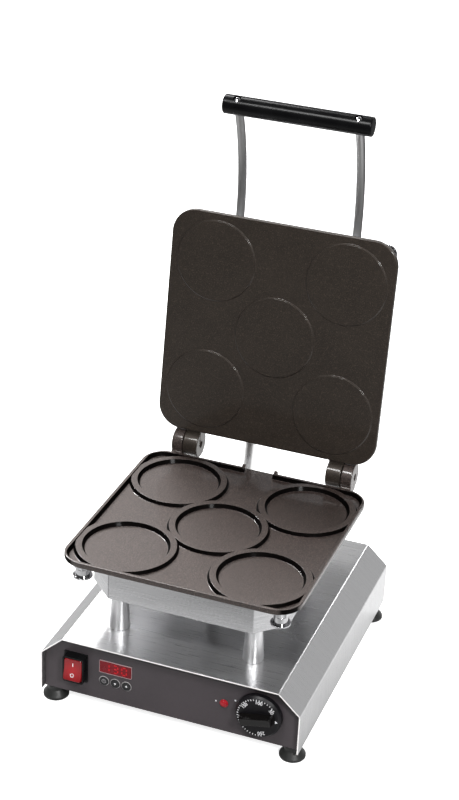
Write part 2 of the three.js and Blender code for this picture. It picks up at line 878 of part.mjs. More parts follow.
function studHoles(low, high) {
  return screwPlaces.map(({ x, y }) => column(x, y, low, high, studRadius + seatGap, smallSides));
}

// An ear of the hinge: a round lug on a short web that runs into the edge of the plate
function hingeLug(left, right, axisY, axisZ, rootY, webLow, webHigh) {
  const web = polygon([
    [rootY, webLow],
    [axisY, webLow],
    [axisY, webHigh],
    [rootY, webHigh],
  ]);
  return join(
    prismX(circle(lugRadius, axisY, axisZ), left, right),
    prismX(web, left, right),
  );
}

const outerLugX = lugInnerX + innerLugWidth + lugGap;
const outerLugEnd = outerLugX + outerLugWidth;
const pinBore = pinRadius + seatGap;

// The lower plate is drawn round its own centre, with its rim at z = 0
function lowerPlate() {
  const gutterFloor = -gutterDepth;
  const landTop = -landDrop;
  const mouldFloor = landTop - mouldDepth + landDrop;
  const rear = plateSize / 2;
  const spoutHalf = spoutWidth / 2;
  const blank = plateBlank(plateSize, -plateFlange, 0, -plateThickness, -plateFlange / 2);
  const gutter = tubSpace(plateSize / 2 - rimWidth, plateCorner - rimWidth, gutterFloor, gutterDepth, rimSlope);
  const lands = mouldPlaces.map(([x, y]) => turnedZ([
    [0, gutterFloor - rimSlope / 2],
    [landRadius + landSlope, gutterFloor - rimSlope / 2],
    [landRadius, landTop],
    [0, landTop],
  ], x, y, mouldSides));
  const moulds = mouldPlaces.map(([x, y]) => turnedZ([
    [0, mouldFloor],
    [mouldFloorRadius, mouldFloor],
    [mouldRadius, landTop],
    [mouldRadius, overrun],
    [0, overrun],
  ], x, y, mouldSides));
  const cheek = polygon([
    [rear - rimWidth, gutterFloor - spoutFloor],
    [rear + spoutReach, gutterFloor - spoutFloor],
    [rear + spoutReach, landTop],
    [rear + cheekTip, cheekRise],
    [rear + edgeRound, cheekRise],
    [rear - rimWidth, -edgeRound],
  ]);
  const spout = [
    block(-spoutHalf, spoutHalf, rear - rimWidth - rimSlope, rear + spoutReach,
      gutterFloor - spoutFloor, gutterFloor),
    prismX(cheek, -spoutHalf - cheekWidth, -spoutHalf),
    prismX(cheek, spoutHalf, spoutHalf + cheekWidth),
  ];
  const rimGap = block(-spoutHalf, spoutHalf, rear - rimWidth - 2 * rimSlope, rear + overrun,
    gutterFloor, overrun);
  const lugAt = (left, right) => hingeLug(left, right, rear + hingeBehind, hingeRise,
    rear - lugRoot, -plateThickness, -edgeRound);
  const pinHole = prismX(circle(pinBore, rear + hingeBehind, hingeRise),
    -outerLugEnd - overrun, outerLugEnd + overrun, boreSides / 2);
  return cut(
    join(
      cut(blank, gutter, rimGap),
      ...lands,
      ...spout,
      cut(join(lugAt(outerLugX, outerLugEnd), lugAt(-outerLugEnd, -outerLugX)), gutter),
    ),
    ...moulds,
    pinHole,
    ...studHoles(-plateThickness - overrun, studLength + studHoleSpare - plateThickness),
  );
}

// The lid plate is drawn with its cooking face at z = 0 and its back above
function upperPlate() {
  const rear = lidPlateSize / 2;
  const axisY = plateSize / 2 + hingeBehind;
  const axisZ = hingeRise - seatGap;
  const blank = plateBlank(lidPlateSize, 0, plateFlange, plateFlange / 2, plateThickness);
  const discs = mouldPlaces.map(([x, y]) => turnedZ([
    [0, -discHeight],
    [discRadius - discSlope, -discHeight],
    [discRadius, 0],
    [discRadius, discHeight],
    [0, discHeight],
  ], x, y, mouldSides));
  const webLow = (plateThickness - lugWeb / 2) / 2;
  const lugAt = (left, right) => hingeLug(left, right, axisY, axisZ,
    rear - lugRoot, webLow, webLow + lugWeb);
  const innerEnd = lugInnerX + innerLugWidth;
  const pinHole = prismX(circle(pinBore, axisY, axisZ),
    -innerEnd - overrun, innerEnd + overrun, boreSides / 2);
  return cut(
    join(blank, ...discs, lugAt(lugInnerX, innerEnd), lugAt(-innerEnd, -lugInnerX)),
    pinHole,
    ...studHoles(plateThickness - studLength - studHoleSpare, plateThickness + overrun),
  );
}

function hingePin(left, right) {
  return prismX(circle(pinRadius, hingeY, hingeZ), left, right, boreSides / 2);
}

// A cooking head is drawn from the back face of its plate at z = 0 outwards
function carrier() {
  return cut(
    prismZ(roundedSquare(carrierSize / 2, carrierCorner), seatGap, seatGap + carrierThickness),
    prismZ(roundedSquare(carrierWindow / 2, windowCorner), seatGap - overrun,
      seatGap + carrierThickness + overrun),
    ...studHoles(seatGap - overrun, seatGap + carrierThickness + overrun),
  );
}

const casingOutline = [
  [casingHalf, casingChamfer - casingHalf],
  [casingHalf, casingHalf - casingChamfer],
  [casingHalf - casingChamfer, casingHalf],
  [casingChamfer - casingHalf, casingHalf],
  [-casingHalf, casingHalf - casingChamfer],
  [-casingHalf, casingChamfer - casingHalf],
  [casingChamfer - casingHalf, -casingHalf],
  [casingHalf - casingChamfer, -casingHalf],
];

// An eight-sided pan with a flange turned in round its open side
function casing(height, ...holes) {
  const far = headStart + height;
  return cut(
    prismZ(polygon(casingOutline), headStart, far),
    prismZ(polygon(insetPoints(casingOutline, sheet)), headStart + sheet, far - sheet),
    prismZ(polygon(insetPoints(casingOutline, sheet + casingFlange)), headStart - overrun,
      headStart + sheet + overrun),
    ...holes,
  );
}

const elementZ = seatGap + elementRadius;
const terminalRowY = elementSpan / 2 - terminalInset;

// Tubular heater: one open loop whose two ends turn away from the plate
function heatingElement() {
  const half = elementSpan / 2;
  const end = terminalSpacing / 2;
  const points = [
    [-end, terminalRowY, elementZ + terminalLength],
    [-end, terminalRowY, elementZ],
    [-half, terminalRowY, elementZ],
    [-half, -half, elementZ],
    [half, -half, elementZ],
    [half, terminalRowY, elementZ],
    [end, terminalRowY, elementZ],
    [end, terminalRowY, elementZ + terminalLength],
  ].map((place) => new THREE.Vector3(...place));
  return tube(roundedPath(points, elementBend / 2), elementRadius, elementSteps, elementDivisions);
}

// Shallow tray that presses the heater against the plate
function reflectorTray() {
  const half = carrierWindow / 2 + trayOverlap;
  const low = headStart;
  const floor = elementZ + elementRadius + seatGap;
  const clear = elementRadius + seatGap;
  const slots = [-1, 1].map((side) => {
    const near = side * (terminalSpacing / 2 - clear);
    const far = side * (terminalSpacing / 2 + elementBend / 2 + elementRadius);
    return block(Math.min(near, far), Math.max(near, far), terminalRowY - clear, terminalRowY + clear,
      floor - overrun, floor + traySheet + overrun);
  });
  return cut(
    prismZ(roundedSquare(half, trayCorner), low, floor + traySheet),
    prismZ(roundedSquare(half - traySheet, trayCorner - traySheet), low - overrun, floor),
    ...slots,
  );
}

function insulationMat(height) {
  const far = headStart + height - sheet - seatGap;
  return cut(
    prismZ(roundedSquare(matSize / 2, matCorner), far - matThickness, far, 2),
    column(0, 0, far - matThickness - overrun, far + overrun, wireHoleRadius + sheet),
  );
}

function thumbScrew(x, y) {
  const collarLow = headStart;
  const knobLow = collarLow + collarHeight;
  const knobHigh = knobLow + knobHeight;
  const flangeHigh = knobHigh + knobFlangeHeight;
  const flutes = Array.from({ length: 2 * knobFlutes }, (_, i) => {
    const angle = Math.PI * i / knobFlutes;
    const radius = i % 2 ? knobRadius - knobFluteDepth : knobRadius;
    return [radius * Math.cos(angle), radius * Math.sin(angle)];
  });
  const knob = new THREE.ExtrudeGeometry(polygon(flutes), { depth: knobHeight, bevelEnabled: false });
  return join(
    turnedZ([
      [0, -studLength],
      [studRadius, -studLength],
      [studRadius, collarLow],
      [collarRadius, collarLow],
      [collarRadius, knobLow + seatGap],
      [0, knobLow + seatGap],
    ], x, y, smallSides),
    solidOf(knob.translate(x, y, knobLow)),
    turnedZ([
      [0, knobHigh - seatGap],
      [knobFlangeRadius, knobHigh - seatGap],
      [knobFlangeRadius, flangeHigh - knobFlangeEdge],
      [knobFlangeRadius - knobFlangeEdge, flangeHigh],
      [0, flangeHigh],
    ], x, y),
  );
}

// Handle, in the frame of the lid: the hinge axis at the origin and the lid lying closed
const casingFrontY = lidCentreY - casingHalf;
const rodZ = lidFaceZ + rodHeight;
const gripY = -handleReach;
const gripZ = lidFaceZ + handleHeight;
const arcStartY = casingFrontY - rodStraight;
const rodSweep = 2 * Math.atan((rodZ - gripZ) / (arcStartY - gripY));
const rodArcRadius = (arcStartY - gripY) / Math.sin(rodSweep);

class RodCurve extends THREE.Curve {
  constructor(x) {
    super();
    this.x = x;
    this.straight = rodInside + rodStraight;
    this.length = this.straight + rodArcRadius * rodSweep + gripSeat - seatGap;
  }

  getPoint(share, target = new THREE.Vector3()) {
    const gone = share * this.length;
    if (gone < this.straight) return target.set(this.x, casingFrontY + rodInside - gone, rodZ);
    const angle = Math.min((gone - this.straight) / rodArcRadius, rodSweep);
    const beyond = gone - this.straight - rodArcRadius * angle;
    const y = arcStartY - rodArcRadius * Math.sin(angle) - beyond * Math.cos(angle);
    const z = rodZ - rodArcRadius * (1 - Math.cos(angle)) - beyond * Math.sin(angle);
    return target.set(this.x, y, z);
  }
}

function handleRod(x) {
  const hex = new THREE.CylinderGeometry(rodNutFlats / Math.sqrt(3), rodNutFlats / Math.sqrt(3),
    rodNutThickness, 6);
  const nut = hex.translate(x, casingFrontY - seatGap - rodNutThickness / 2, rodZ);
  return join(tube(new RodCurve(x), rodRadius, rodSteps, rodDivisions), solidOf(nut));
}

// A cylinder across the grip, on the line of a rod's end: distances count back towards the casing
function alongRodEnd(x, from, to, radius, sides) {
  const cylinder = new THREE.CylinderGeometry(radius, radius, to - from, sides);
  return solidOf(cylinder.translate(0, (from + to) / 2, 0).rotateX(rodSweep).translate(x, gripY, gripZ));
}

const rodPlaces = { left: -rodSpacing / 2, right: rodSpacing / 2 };

function handleGrip() {
  const profile = [
    [0, -gripLength / 2],
    [gripRadius - gripEdge, -gripLength / 2],
    [gripRadius, gripEdge - gripLength / 2],
    [gripRadius, gripLength / 2 - gripEdge],
    [gripRadius - gripEdge, gripLength / 2],
    [0, gripLength / 2],
  ];
  const cylinder = solidOf(turned(profile, gripSides).rotateZ(-Math.PI / 2).translate(0, gripY, gripZ));
  const bores = Object.values(rodPlaces).flatMap((x) => [
    alongRodEnd(x, -gripSeat, gripRadius + overrun, rodRadius + seatGap, boreSides),
    alongRodEnd(x, -gripRadius - overrun, seatGap, screwShankRadius + seatGap, smallSides),
    alongRodEnd(x, -gripRadius - overrun, screwCounterbore - gripRadius, screwHeadRadius + seatGap, boreSides),
  ]);
  return cut(cylinder, ...bores);
}

function gripScrew(x) {
  const headBack = screwCounterbore - gripRadius - seatGap;
  return join(
    alongRodEnd(x, headBack - screwHeadHeight, headBack, screwHeadRadius, boreSides),
    alongRodEnd(x, headBack - seatGap, -gripSeat - seatGap, screwShankRadius, smallSides),
  );
}

// Lead from the base to the lid casing, with a gland at each end
function leadGland() {
  const hexRadius = glandHexRadius;
  return cut(
    join(
      column(0, 0, seatGap, seatGap + glandHexHeight, hexRadius, 6),
      turnedZ([
        [0, glandHexHeight],
        [glandRadius, glandHexHeight],
        [glandRadius, glandHeight - sheet],
        [glandRadius - sheet, glandHeight],
        [0, glandHeight],
      ], 0, 0),
    ),
    column(0, 0, -overrun, glandHeight + overrun, leadRadius - sheet),
  );
}

const casingRearY = lidCentreY + casingHalf;
const lidLeadZ = lidFaceZ + leadHeightOnCasing + plateThickness;

// A place in the frame of the lid, carried to where it lies while the lid stands open
function openPlace(y, z) {
  return new THREE.Vector3(leadX, y, z)
    .applyAxisAngle(new THREE.Vector3(1, 0, 0), -openAngle)
    .add(new THREE.Vector3(0, hingeY, hingeZ));
}

function upperLead() {
  const start = new THREE.Vector3(leadX, leadY, housingTop + glandHeight + seatGap);
  const end = openPlace(casingRearY + glandHeight + seatGap, lidLeadZ);
  const startEase = start.clone().add(new THREE.Vector3(0, 0, leadEase));
  const endEase = openPlace(casingRearY + glandHeight + seatGap + leadEase, lidLeadZ);
  return tube(new THREE.CubicBezierCurve3(start, startEase, endEase, end), leadRadius, leadSteps, leadDivisions);
}

// Base
const machine = new THREE.Group();
addPiece(machine, 'housing_shell', housingShell(), brushedSteel);
addPiece(machine, 'base_plate', basePlate(), satinSteel);
addPiece(machine, 'rear_panel', rearPanel(), brushedSteel);
addPiece(machine, 'front_panel', frontPanel(), panelPaint);
for (const { corner, x, y } of footPlaces) addPiece(machine, `foot_${corner}`, foot(x, y), darkRubber);
addPiece(machine, 'mains_gland', mainsGland(), blackPlastic);
addPiece(machine, 'terminal_block', terminalBlock(), palePlastic);

// Controls
addPiece(machine, 'switch_frame', switchFrame(), blackPlastic);
const rocker = addPiece(machine, 'power_rocker', powerRocker(), redPlastic);
rocker.position.set(switchX, panelRecess - rockerPivot, switchZ);
rocker.rotation.x = -rockerTilt;
addPiece(machine, 'display_window', displayWindow(), redPlastic);
addPiece(machine, 'control_module', controlModule(), blackPlastic);
buttonNames.forEach((name, i) => addPiece(machine, `button_${name}`, timerButton(buttonX(i)), blackPlastic));
addPiece(machine, 'pilot_lamp', pilotLamp(), redPlastic);
addPiece(machine, 'thermostat_body', thermostatBody(), satinSteel);
addPiece(machine, 'thermostat_shaft', thermostatShaft(), satinSteel);
const dial = addPiece(machine, 'thermostat_dial', thermostatDial(), blackPlastic);
dial.position.set(dialX, panelRecess - dialStandoff, dialZ);
dial.rotation.y = -dialTurn;

// Pillars and what passes through them
for (const { corner, x, y } of pillarPlaces) {
  addPiece(machine, `pillar_${corner}`, pillar(x, y), aluminium);
  addPiece(machine, `pillar_bolt_${corner}`, pillarBolt(x, y), satinSteel);
}
addPiece(machine, 'wire_sleeve', wireSleeve(), satinSteel);

// Lower head: its plate faces up, and what lies behind the plate hangs below it
const lowerPlateGroup = new THREE.Group();
lowerPlateGroup.position.set(0, plateCentreY, partingZ);
machine.add(lowerPlateGroup);
addPiece(lowerPlateGroup, 'lower_plate', lowerPlate(), lowerCoating);

const lowerHead = new THREE.Group();
lowerHead.position.set(0, plateCentreY, plateBottom);
lowerHead.rotation.y = Math.PI;
machine.add(lowerHead);
const lowerFar = headStart + lowerCasingHeight;
const pillarHoles = pillarPlaces.map(({ x, y }) =>
  column(x, y - plateCentreY, lowerFar - sheet - overrun, lowerFar + overrun, boltHole));
const lowerWireHole = column(0, 0, lowerFar - sheet - overrun, lowerFar + overrun, wireHoleRadius);
addPiece(lowerHead, 'lower_carrier', carrier(), satinSteel);
addPiece(lowerHead, 'lower_casing', casing(lowerCasingHeight, ...pillarHoles, lowerWireHole), brushedSteel);
addPiece(lowerHead, 'lower_element', heatingElement(), satinSteel);
addPiece(lowerHead, 'lower_reflector', reflectorTray(), aluminium);
addPiece(lowerHead, 'lower_insulation', insulationMat(lowerCasingHeight), mineralMat);
for (const { corner, x, y } of screwPlaces) {
  const mirrored = corner.includes('left') ? corner.replace('left', 'right') : corner.replace('right', 'left');
  addPiece(lowerHead, `lower_thumb_screw_${mirrored}`, thumbScrew(x, y), chrome);
}

// Hinge pins
addPiece(machine, 'hinge_pin_left', hingePin(pinSetback - outerLugEnd, -lugInnerX - pinSetback), chrome);
addPiece(machine, 'hinge_pin_right', hingePin(lugInnerX + pinSetback, outerLugEnd - pinSetback), chrome);

// Lid: drawn lying closed round the hinge axis, then swung open
const lid = new THREE.Group();
lid.position.set(0, hingeY, hingeZ);
lid.rotation.x = -openAngle;
machine.add(lid);

const upperPlateGroup = new THREE.Group();
upperPlateGroup.position.set(0, lidCentreY, lidFaceZ);
lid.add(upperPlateGroup);
addPiece(upperPlateGroup, 'upper_plate', upperPlate(), lidCoating);

const upperHead = new THREE.Group();
upperHead.position.set(0, lidCentreY, lidFaceZ + plateThickness);
lid.add(upperHead);
const rodHoleZ = rodHeight - plateThickness;
const rodHoles = Object.values(rodPlaces).map((x) =>
  bar(x, rodHoleZ, -casingHalf - overrun, sheet - casingHalf + overrun, rodRadius + seatGap));
const leadHole = bar(leadX, leadHeightOnCasing, casingHalf - sheet - overrun, casingHalf + overrun,
  leadRadius);
addPiece(upperHead, 'upper_carrier', carrier(), satinSteel);
addPiece(upperHead, 'upper_casing', casing(upperCasingHeight, ...rodHoles, leadHole), brushedSteel);
addPiece(upperHead, 'upper_element', heatingElement(), satinSteel);
addPiece(upperHead, 'upper_reflector', reflectorTray(), aluminium);
addPiece(upperHead, 'upper_insulation', insulationMat(upperCasingHeight), mineralMat);
for (const { corner, x, y } of screwPlaces) {
  addPiece(upperHead, `upper_thumb_screw_${corner}`, thumbScrew(x, y), chrome);
}

for (const [side, x] of Object.entries(rodPlaces)) {
  addPiece(lid, `handle_rod_${side}`, handleRod(x), satinSteel);
  addPiece(lid, `grip_screw_${side}`, gripScrew(x), chrome);
}
addPiece(lid, 'handle_grip', handleGrip(), blackPlastic);
const lidGland = addPiece(lid, 'lead_gland_lid', leadGland(), satinSteel);
lidGland.position.set(leadX, casingRearY, lidLeadZ);
lidGland.rotation.x = -Math.PI / 2;

// Lead of the lid's heater
const baseGland = addPiece(machine, 'lead_gland_base', leadGland(), satinSteel);
baseGland.position.set(leadX, leadY, housingTop);
addPiece(machine, 'upper_lead', upperLead(), satinSteel);

// The origin lies under the middle of the machine, on the surface it stands on
const box = new THREE.Box3().setFromObject(machine, true);
machine.position.y = -(box.min.y + box.max.y) / 2;

export default machine;
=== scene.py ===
# Pancake maker: a folded steel base with its controls, a heated plate with five round moulds,
# and a hinged lid that stands open behind it. Sizes are in metres.

import math

import bpy
from mathutils import Matrix, Vector


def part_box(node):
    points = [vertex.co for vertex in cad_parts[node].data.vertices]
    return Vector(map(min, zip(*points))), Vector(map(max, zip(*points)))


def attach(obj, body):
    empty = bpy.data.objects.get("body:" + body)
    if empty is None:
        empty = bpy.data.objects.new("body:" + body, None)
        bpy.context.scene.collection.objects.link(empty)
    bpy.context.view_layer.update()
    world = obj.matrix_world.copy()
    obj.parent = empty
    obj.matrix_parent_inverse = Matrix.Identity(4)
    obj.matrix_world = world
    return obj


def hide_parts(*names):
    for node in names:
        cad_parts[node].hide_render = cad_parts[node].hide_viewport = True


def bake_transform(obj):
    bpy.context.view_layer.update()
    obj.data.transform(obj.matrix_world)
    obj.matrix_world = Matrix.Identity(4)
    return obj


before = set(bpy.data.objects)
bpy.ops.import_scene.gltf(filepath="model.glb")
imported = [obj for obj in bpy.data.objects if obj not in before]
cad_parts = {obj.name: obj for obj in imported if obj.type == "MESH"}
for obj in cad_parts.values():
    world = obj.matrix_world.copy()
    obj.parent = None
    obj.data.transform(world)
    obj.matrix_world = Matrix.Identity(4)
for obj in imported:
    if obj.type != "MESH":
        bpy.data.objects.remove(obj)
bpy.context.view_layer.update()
scene = bpy.context.scene
mm = 0.001
quarter_turn = math.pi / 2

# Camera: the photograph is taken from the front right, a little from above, with a long lens.
# Its place is worked out from the front edge of the housing, and its frame is 459 by 800.
shell_low, shell_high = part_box("housing_shell")
front_edge = shell_low.y
focal_pixels = 1936.877
frame_height = 800
azimuth = math.radians(19.126)
elevation = math.radians(27.374)
roll = math.radians(2.686)
distance = 2.098
slide_right = -62.913
slide_up = -320.834
back = Vector((
    math.sin(azimuth) * math.cos(elevation),
    -math.cos(azimuth) * math.cos(elevation),
    math.sin(elevation),
))
level_right = Vector((math.cos(azimuth), math.sin(azimuth), 0))
level_up = back.cross(level_right)
right = math.cos(roll) * level_right + math.sin(roll) * level_up
up = math.cos(roll) * level_up - math.sin(roll) * level_right
eye = back * distance
eye -= right * (slide_right * distance / focal_pixels)
eye -= up * (slide_up * distance / focal_pixels)
eye += Vector((0, front_edge, shell_low.z))
camera = bpy.data.objects.new("camera", bpy.data.cameras.new("camera"))
scene.collection.objects.link(camera)
camera.matrix_world = Matrix.Translation(eye) @ Matrix((right, up, back)).transposed().to_4x4()
camera.data.sensor_width = 36
camera.data.lens = focal_pixels * camera.data.sensor_width / frame_height
camera.data.clip_end = 50
scene.camera = camera


# Studio: a pale floor that the camera sees white, and that the steel mirrors bright only round
# the machine, a soft grey surround, and five soft lamps that light it and draw its bright lines.
def picked(*pieces):
    """Object mode, with only these pieces selected and the first of them active."""
    if bpy.context.object and bpy.context.object.mode != "OBJECT":
        bpy.ops.object.mode_set(mode="OBJECT")
    bpy.ops.object.select_all(action="DESELECT")
    for piece in pieces:
        piece.select_set(True)
    if pieces:
        bpy.context.view_layer.objects.active = pieces[0]


def shade(colour):
    """A colour of linear light, or one of 0 to 255 as a screen shows it, as a shader takes it."""
    if max(colour) > 1:
        steps = [c / 255 for c in colour]
        colour = [c / 12.92 if c <= 0.04045 else ((c + 0.055) / 1.055) ** 2.4 for c in steps]
    return (*colour, 1.0)


def feed(tree, socket, value):
    """Links an input of a shader node to a source, or sets it to a constant."""
    if isinstance(value, bpy.types.NodeSocket):
        tree.links.new(value, socket)
    else:
        socket.default_value = value


def node(tree, kind, *sources, **values):
    """The outputs of a new shader node. Sources feed its first inputs, values those they name."""
    made = tree.nodes.new("ShaderNode" + kind)
    for key, value in values.items():
        if hasattr(made, key):
            setattr(made, key, value)
        else:
            feed(tree, made.inputs[key.replace("_", " ")], value)
    for socket, source in zip(made.inputs, sources):
        if source is not None:
            feed(tree, socket, source)
    return made.outputs


def surfaced(material, **values):
    """Feeds inputs of a material's main shader, by name."""
    surface = material.node_tree.nodes["Principled BSDF"]
    for key, value in values.items():
        feed(material.node_tree, surface.inputs[key.replace("_", " ")], value)
    return material


def mapped(tree, source, start, end, low=0.0, high=1.0):
    """A source that runs from start to end, as a value that runs from low to high."""
    return node(tree, "MapRange", source, From_Min=start, From_Max=end, To_Min=low, To_Max=high)[0]


def worked_out(tree, operation, *sources, **values):
    """A sum, product or other operation on sources."""
    return node(tree, "Math", *sources, operation=operation, **values)[0]


def mixed(tree, factor, first, second):
    """The first colour where the factor is 0, and the second where it is 1."""
    return node(tree, "Mix", factor, *[None] * 5, first, second, data_type="RGBA")[2]


def scaled(tree, colour, amount):
    """A colour times an amount."""
    return node(tree, "VectorMath", colour, operation="SCALE", Scale=amount)[0]


def noise_of(tree, scale, stretch=(1, 1, 1), detail=4.0):
    """Noise on the piece's own coordinates, drawn out along an axis where stretch is small."""
    spot = node(tree, "Mapping", node(tree, "TexCoord")["Object"], Scale=stretch)[0]
    return node(tree, "TexNoise", spot, Scale=scale, Detail=detail)["Fac"]


def ramp_of(tree, source, stops):
    """A colour ramp on a source, with stops of (place, colour)."""
    ramp = node(tree, "ValToRGB", source)[0]
    elements = ramp.node.color_ramp.elements
    for index, (stop, colour) in enumerate(stops):
        element = elements[index] if index < 2 else elements.new(stop)
        element.position = stop
        element.color = shade(colour)
    return ramp


def finish(name, dark, light, cloud=40, cloud_stretch=(1, 1, 1), roughness=(0.4, 0.5), wear=300,
           wear_stretch=(1, 1, 1), bump=0.1, bump_scale=900, bump_stretch=(1, 1, 1), depth=0.0001,
           **shader):
    """A finish: two colours in soft clouds, a roughness that varies, and a fine relief."""
    material = bpy.data.materials.new(name)
    material.use_nodes = True
    tree = material.node_tree
    clouds = ramp_of(tree, noise_of(tree, cloud, cloud_stretch), [(0.3, dark), (0.7, light)])
    spread = mapped(tree, noise_of(tree, wear, wear_stretch), 0.3, 0.7, *roughness)
    relief = node(tree, "Bump", Strength=bump, Distance=depth,
                  Height=noise_of(tree, bump_scale, bump_stretch))[0]
    return surfaced(material, Base_Color=clouds, Roughness=spread, Normal=relief, **shader)


def coated(piece, material):
    """The piece has this one finish all over."""
    piece.data.materials.clear()
    piece.data.materials.append(material)
    return piece


floor_finish = finish("floor_finish", (0.86, 0.86, 0.86), (0.88, 0.88, 0.88), cloud=3,
                      roughness=(0.85, 0.95), wear=8, bump=0.02, bump_scale=60,
                      Emission_Color=(1, 1, 1, 1))
tree = floor_finish.node_tree
as_seen = node(tree, "Mapping", node(tree, "TexCoord")["Object"], Rotation=(0, 0, -azimuth))[0]
axes = node(tree, "SeparateXYZ", as_seen)
near = mapped(tree, axes["Y"], -0.6, -0.3)
strip = mapped(tree, worked_out(tree, "ABSOLUTE", axes["X"]), 0.9, 0.5)
round_machine = worked_out(tree, "MULTIPLY", near, strip)
glow_to_right = mapped(tree, axes["X"], 0.02, 0.2, 0.05, 0.66)
seen = node(tree, "LightPath")["Is Camera Ray"]
for socket, far_tone, near_tone, seen_tone in (
    ("Emission_Strength", 0.0, glow_to_right, 0.8),
    ("Base_Color", 0.12, 0.42, 0.88),
):
    mirrored = mapped(tree, round_machine, 0.0, 1.0, far_tone, near_tone)
    choice = node(tree, "Mix", seen, None, mirrored, seen_tone, data_type="FLOAT")[0]
    surfaced(floor_finish, **{socket: choice})
picked()
bpy.ops.mesh.primitive_plane_add(size=16)
floor = bpy.context.object
floor.name = "floor"
coated(floor, floor_finish)

scene.view_settings.view_transform = "Standard"
scene.view_settings.look = "None"
world = bpy.data.worlds.new("studio")
world.use_nodes = True
scene.world = world
tree = world.node_tree
axes = node(tree, "SeparateXYZ", node(tree, "TexCoord")["Generated"])
by_height = ramp_of(tree, mapped(tree, axes["Z"], -1.0, 1.0), [
    (0.42, (0.35, 0.35, 0.35)),
    (0.54, (0.95, 0.95, 0.955)),
    (0.75, (0.72, 0.72, 0.725)),
    (0.95, (0.40, 0.40, 0.40)),
])
behind = mapped(tree, axes["Y"], -0.5, 0.45, 0.22, 1.0)
beside = mapped(tree, axes["X"], -0.4, 0.4, 0.60, 0.78)
surround = scaled(tree, by_height, worked_out(tree, "MULTIPLY", behind, beside))
seen = node(tree, "LightPath")["Is Camera Ray"]
feed(tree, tree.nodes["Background"].inputs["Color"], mixed(tree, seen, surround, (1, 1, 1, 1)))

lamp_target = Vector((0, 0, 0.2))
lamp_reach = 2.6
for name, direction, width, height, power in (
    ("lamp_above", (-0.15, -0.5, 0.8), 1.0, 0.45, 42),
    ("lamp_left", (-0.46, 0.49, 0.74), 1.0, 1.0, 52),
    ("lamp_lines", (-0.70, 0.36, 0.60), 0.35, 0.35, 38),
    ("lamp_right", (0.54, -0.62, 0.58), 0.4, 0.4, 42),
    ("lamp_behind", (0.14, 0.84, 0.52), 0.5, 0.5, 7),
):
    spot = lamp_target + Vector(direction).normalized() * lamp_reach
    data = bpy.data.lights.new(name, "AREA")
    data.shape = "RECTANGLE"
    data.size = width
    data.size_y = height
    data.energy = power
    lamp = bpy.data.objects.new(name, data)
    scene.collection.objects.link(lamp)
    facing = (lamp_target - spot).to_track_quat("-Z", "Y").to_matrix().to_4x4()
    lamp.matrix_world = Matrix.Translation(spot) @ facing


# Housing: one stainless sheet, 1.5 mm thick, folded over the top and down both sides.
# The grain of the brushing runs round the folds, and the bare cut edge shows in front, with a
# faint painted glow.
def modified(piece, kind, **settings):
    """Gives a piece one modifier, and applies it."""
    picked(piece)
    step = piece.modifiers.new("step", kind)
    for key, value in settings.items():
        setattr(step, key, value)
    bpy.ops.object.modifier_apply(modifier=step.name)
    return piece


def smoothed(piece):
    """Smooth shading that stops at sharp edges, with flat faces kept flat."""
    picked(piece)
    bpy.ops.object.shade_smooth_by_angle(angle=math.radians(35))
    return modified(piece, "WEIGHTED_NORMAL", keep_sharp=True)


def edged(piece, width, segments=2, angle=30):
    """Rounds every edge of a piece that turns by more than the angle."""
    return modified(piece, "BEVEL", width=width, segments=segments, limit_method="ANGLE",
                    angle_limit=math.radians(angle), miter_outer="MITER_ARC")


def opened(piece):
    """Edit mode, with all of the piece selected."""
    picked(piece)
    bpy.ops.object.mode_set(mode="EDIT")
    bpy.ops.mesh.select_all(action="SELECT")


def cad_copy(name, cad_node, joined_faces=True):
    """A copy of a CAD solid as one skin, with each flat side as one face."""
    piece = bpy.data.objects.new(name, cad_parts[cad_node].data.copy())
    scene.collection.objects.link(piece)
    piece.data.materials.clear()
    opened(piece)
    bpy.ops.mesh.remove_doubles(threshold=0.002 * mm)
    if joined_faces:
        bpy.ops.mesh.dissolve_limited(angle_limit=math.radians(0.5))
    bpy.ops.object.mode_set(mode="OBJECT")
    return piece


def corners_rounded(piece, chosen, radius, steps=5):
    """Rounds only the edges that the test picks, given the two ends of each."""
    picked(piece)
    for part in (*piece.data.vertices, *piece.data.polygons):
        part.select = False
    for edge in piece.data.edges:
        edge.select = chosen(*(piece.data.vertices[v].co for v in edge.vertices))
    scene.tool_settings.mesh_select_mode = (False, True, False)
    bpy.ops.object.mode_set(mode="EDIT")
    bpy.ops.mesh.bevel(offset=radius, segments=steps, affect="EDGES")
    bpy.ops.mesh.select_mode(type="VERT")
    bpy.ops.object.mode_set(mode="OBJECT")
    return piece


def dressed(name, cad_node, width, segments=2, joined_faces=True):
    """A copy of a CAD solid with its edges rounded, to stand for it."""
    return smoothed(edged(cad_copy(name, cad_node, joined_faces), width, segments))


def fitted(piece, body, slot, material, *nodes):
    """The piece gets its finish, rides on its body and stands for its CAD nodes."""
    coated(piece, material)
    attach(piece, body)
    if nodes:
        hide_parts(*nodes)
    return piece


def brushed(material, across, amount):
    """Draws out the shine across a brushed grain, in a direction that turns with the piece."""
    tree = material.node_tree
    tangent = node(tree, "VectorTransform", node(tree, "CombineXYZ", *across)[0],
                   vector_type="VECTOR", convert_from="OBJECT", convert_to="WORLD")[0]
    return surfaced(material, Tangent=tangent, Anisotropic=amount)


def alike(one, two):
    """True for two lengths within a tenth of a millimetre."""
    return abs(one - two) < 0.1 * mm


def outer_fold(one, two):
    """True for the four long outer edges where the sheet is folded."""
    lengthwise = abs(one.y - two.y) > 100 * mm and alike(one.x, two.x)
    upper = alike(one.z, shell_high.z) and abs(one.x) > 100 * mm
    lower = alike(abs(one.x), shell_high.x) and one.z > shell_low.z + 20 * mm
    return lengthwise and (upper or lower)


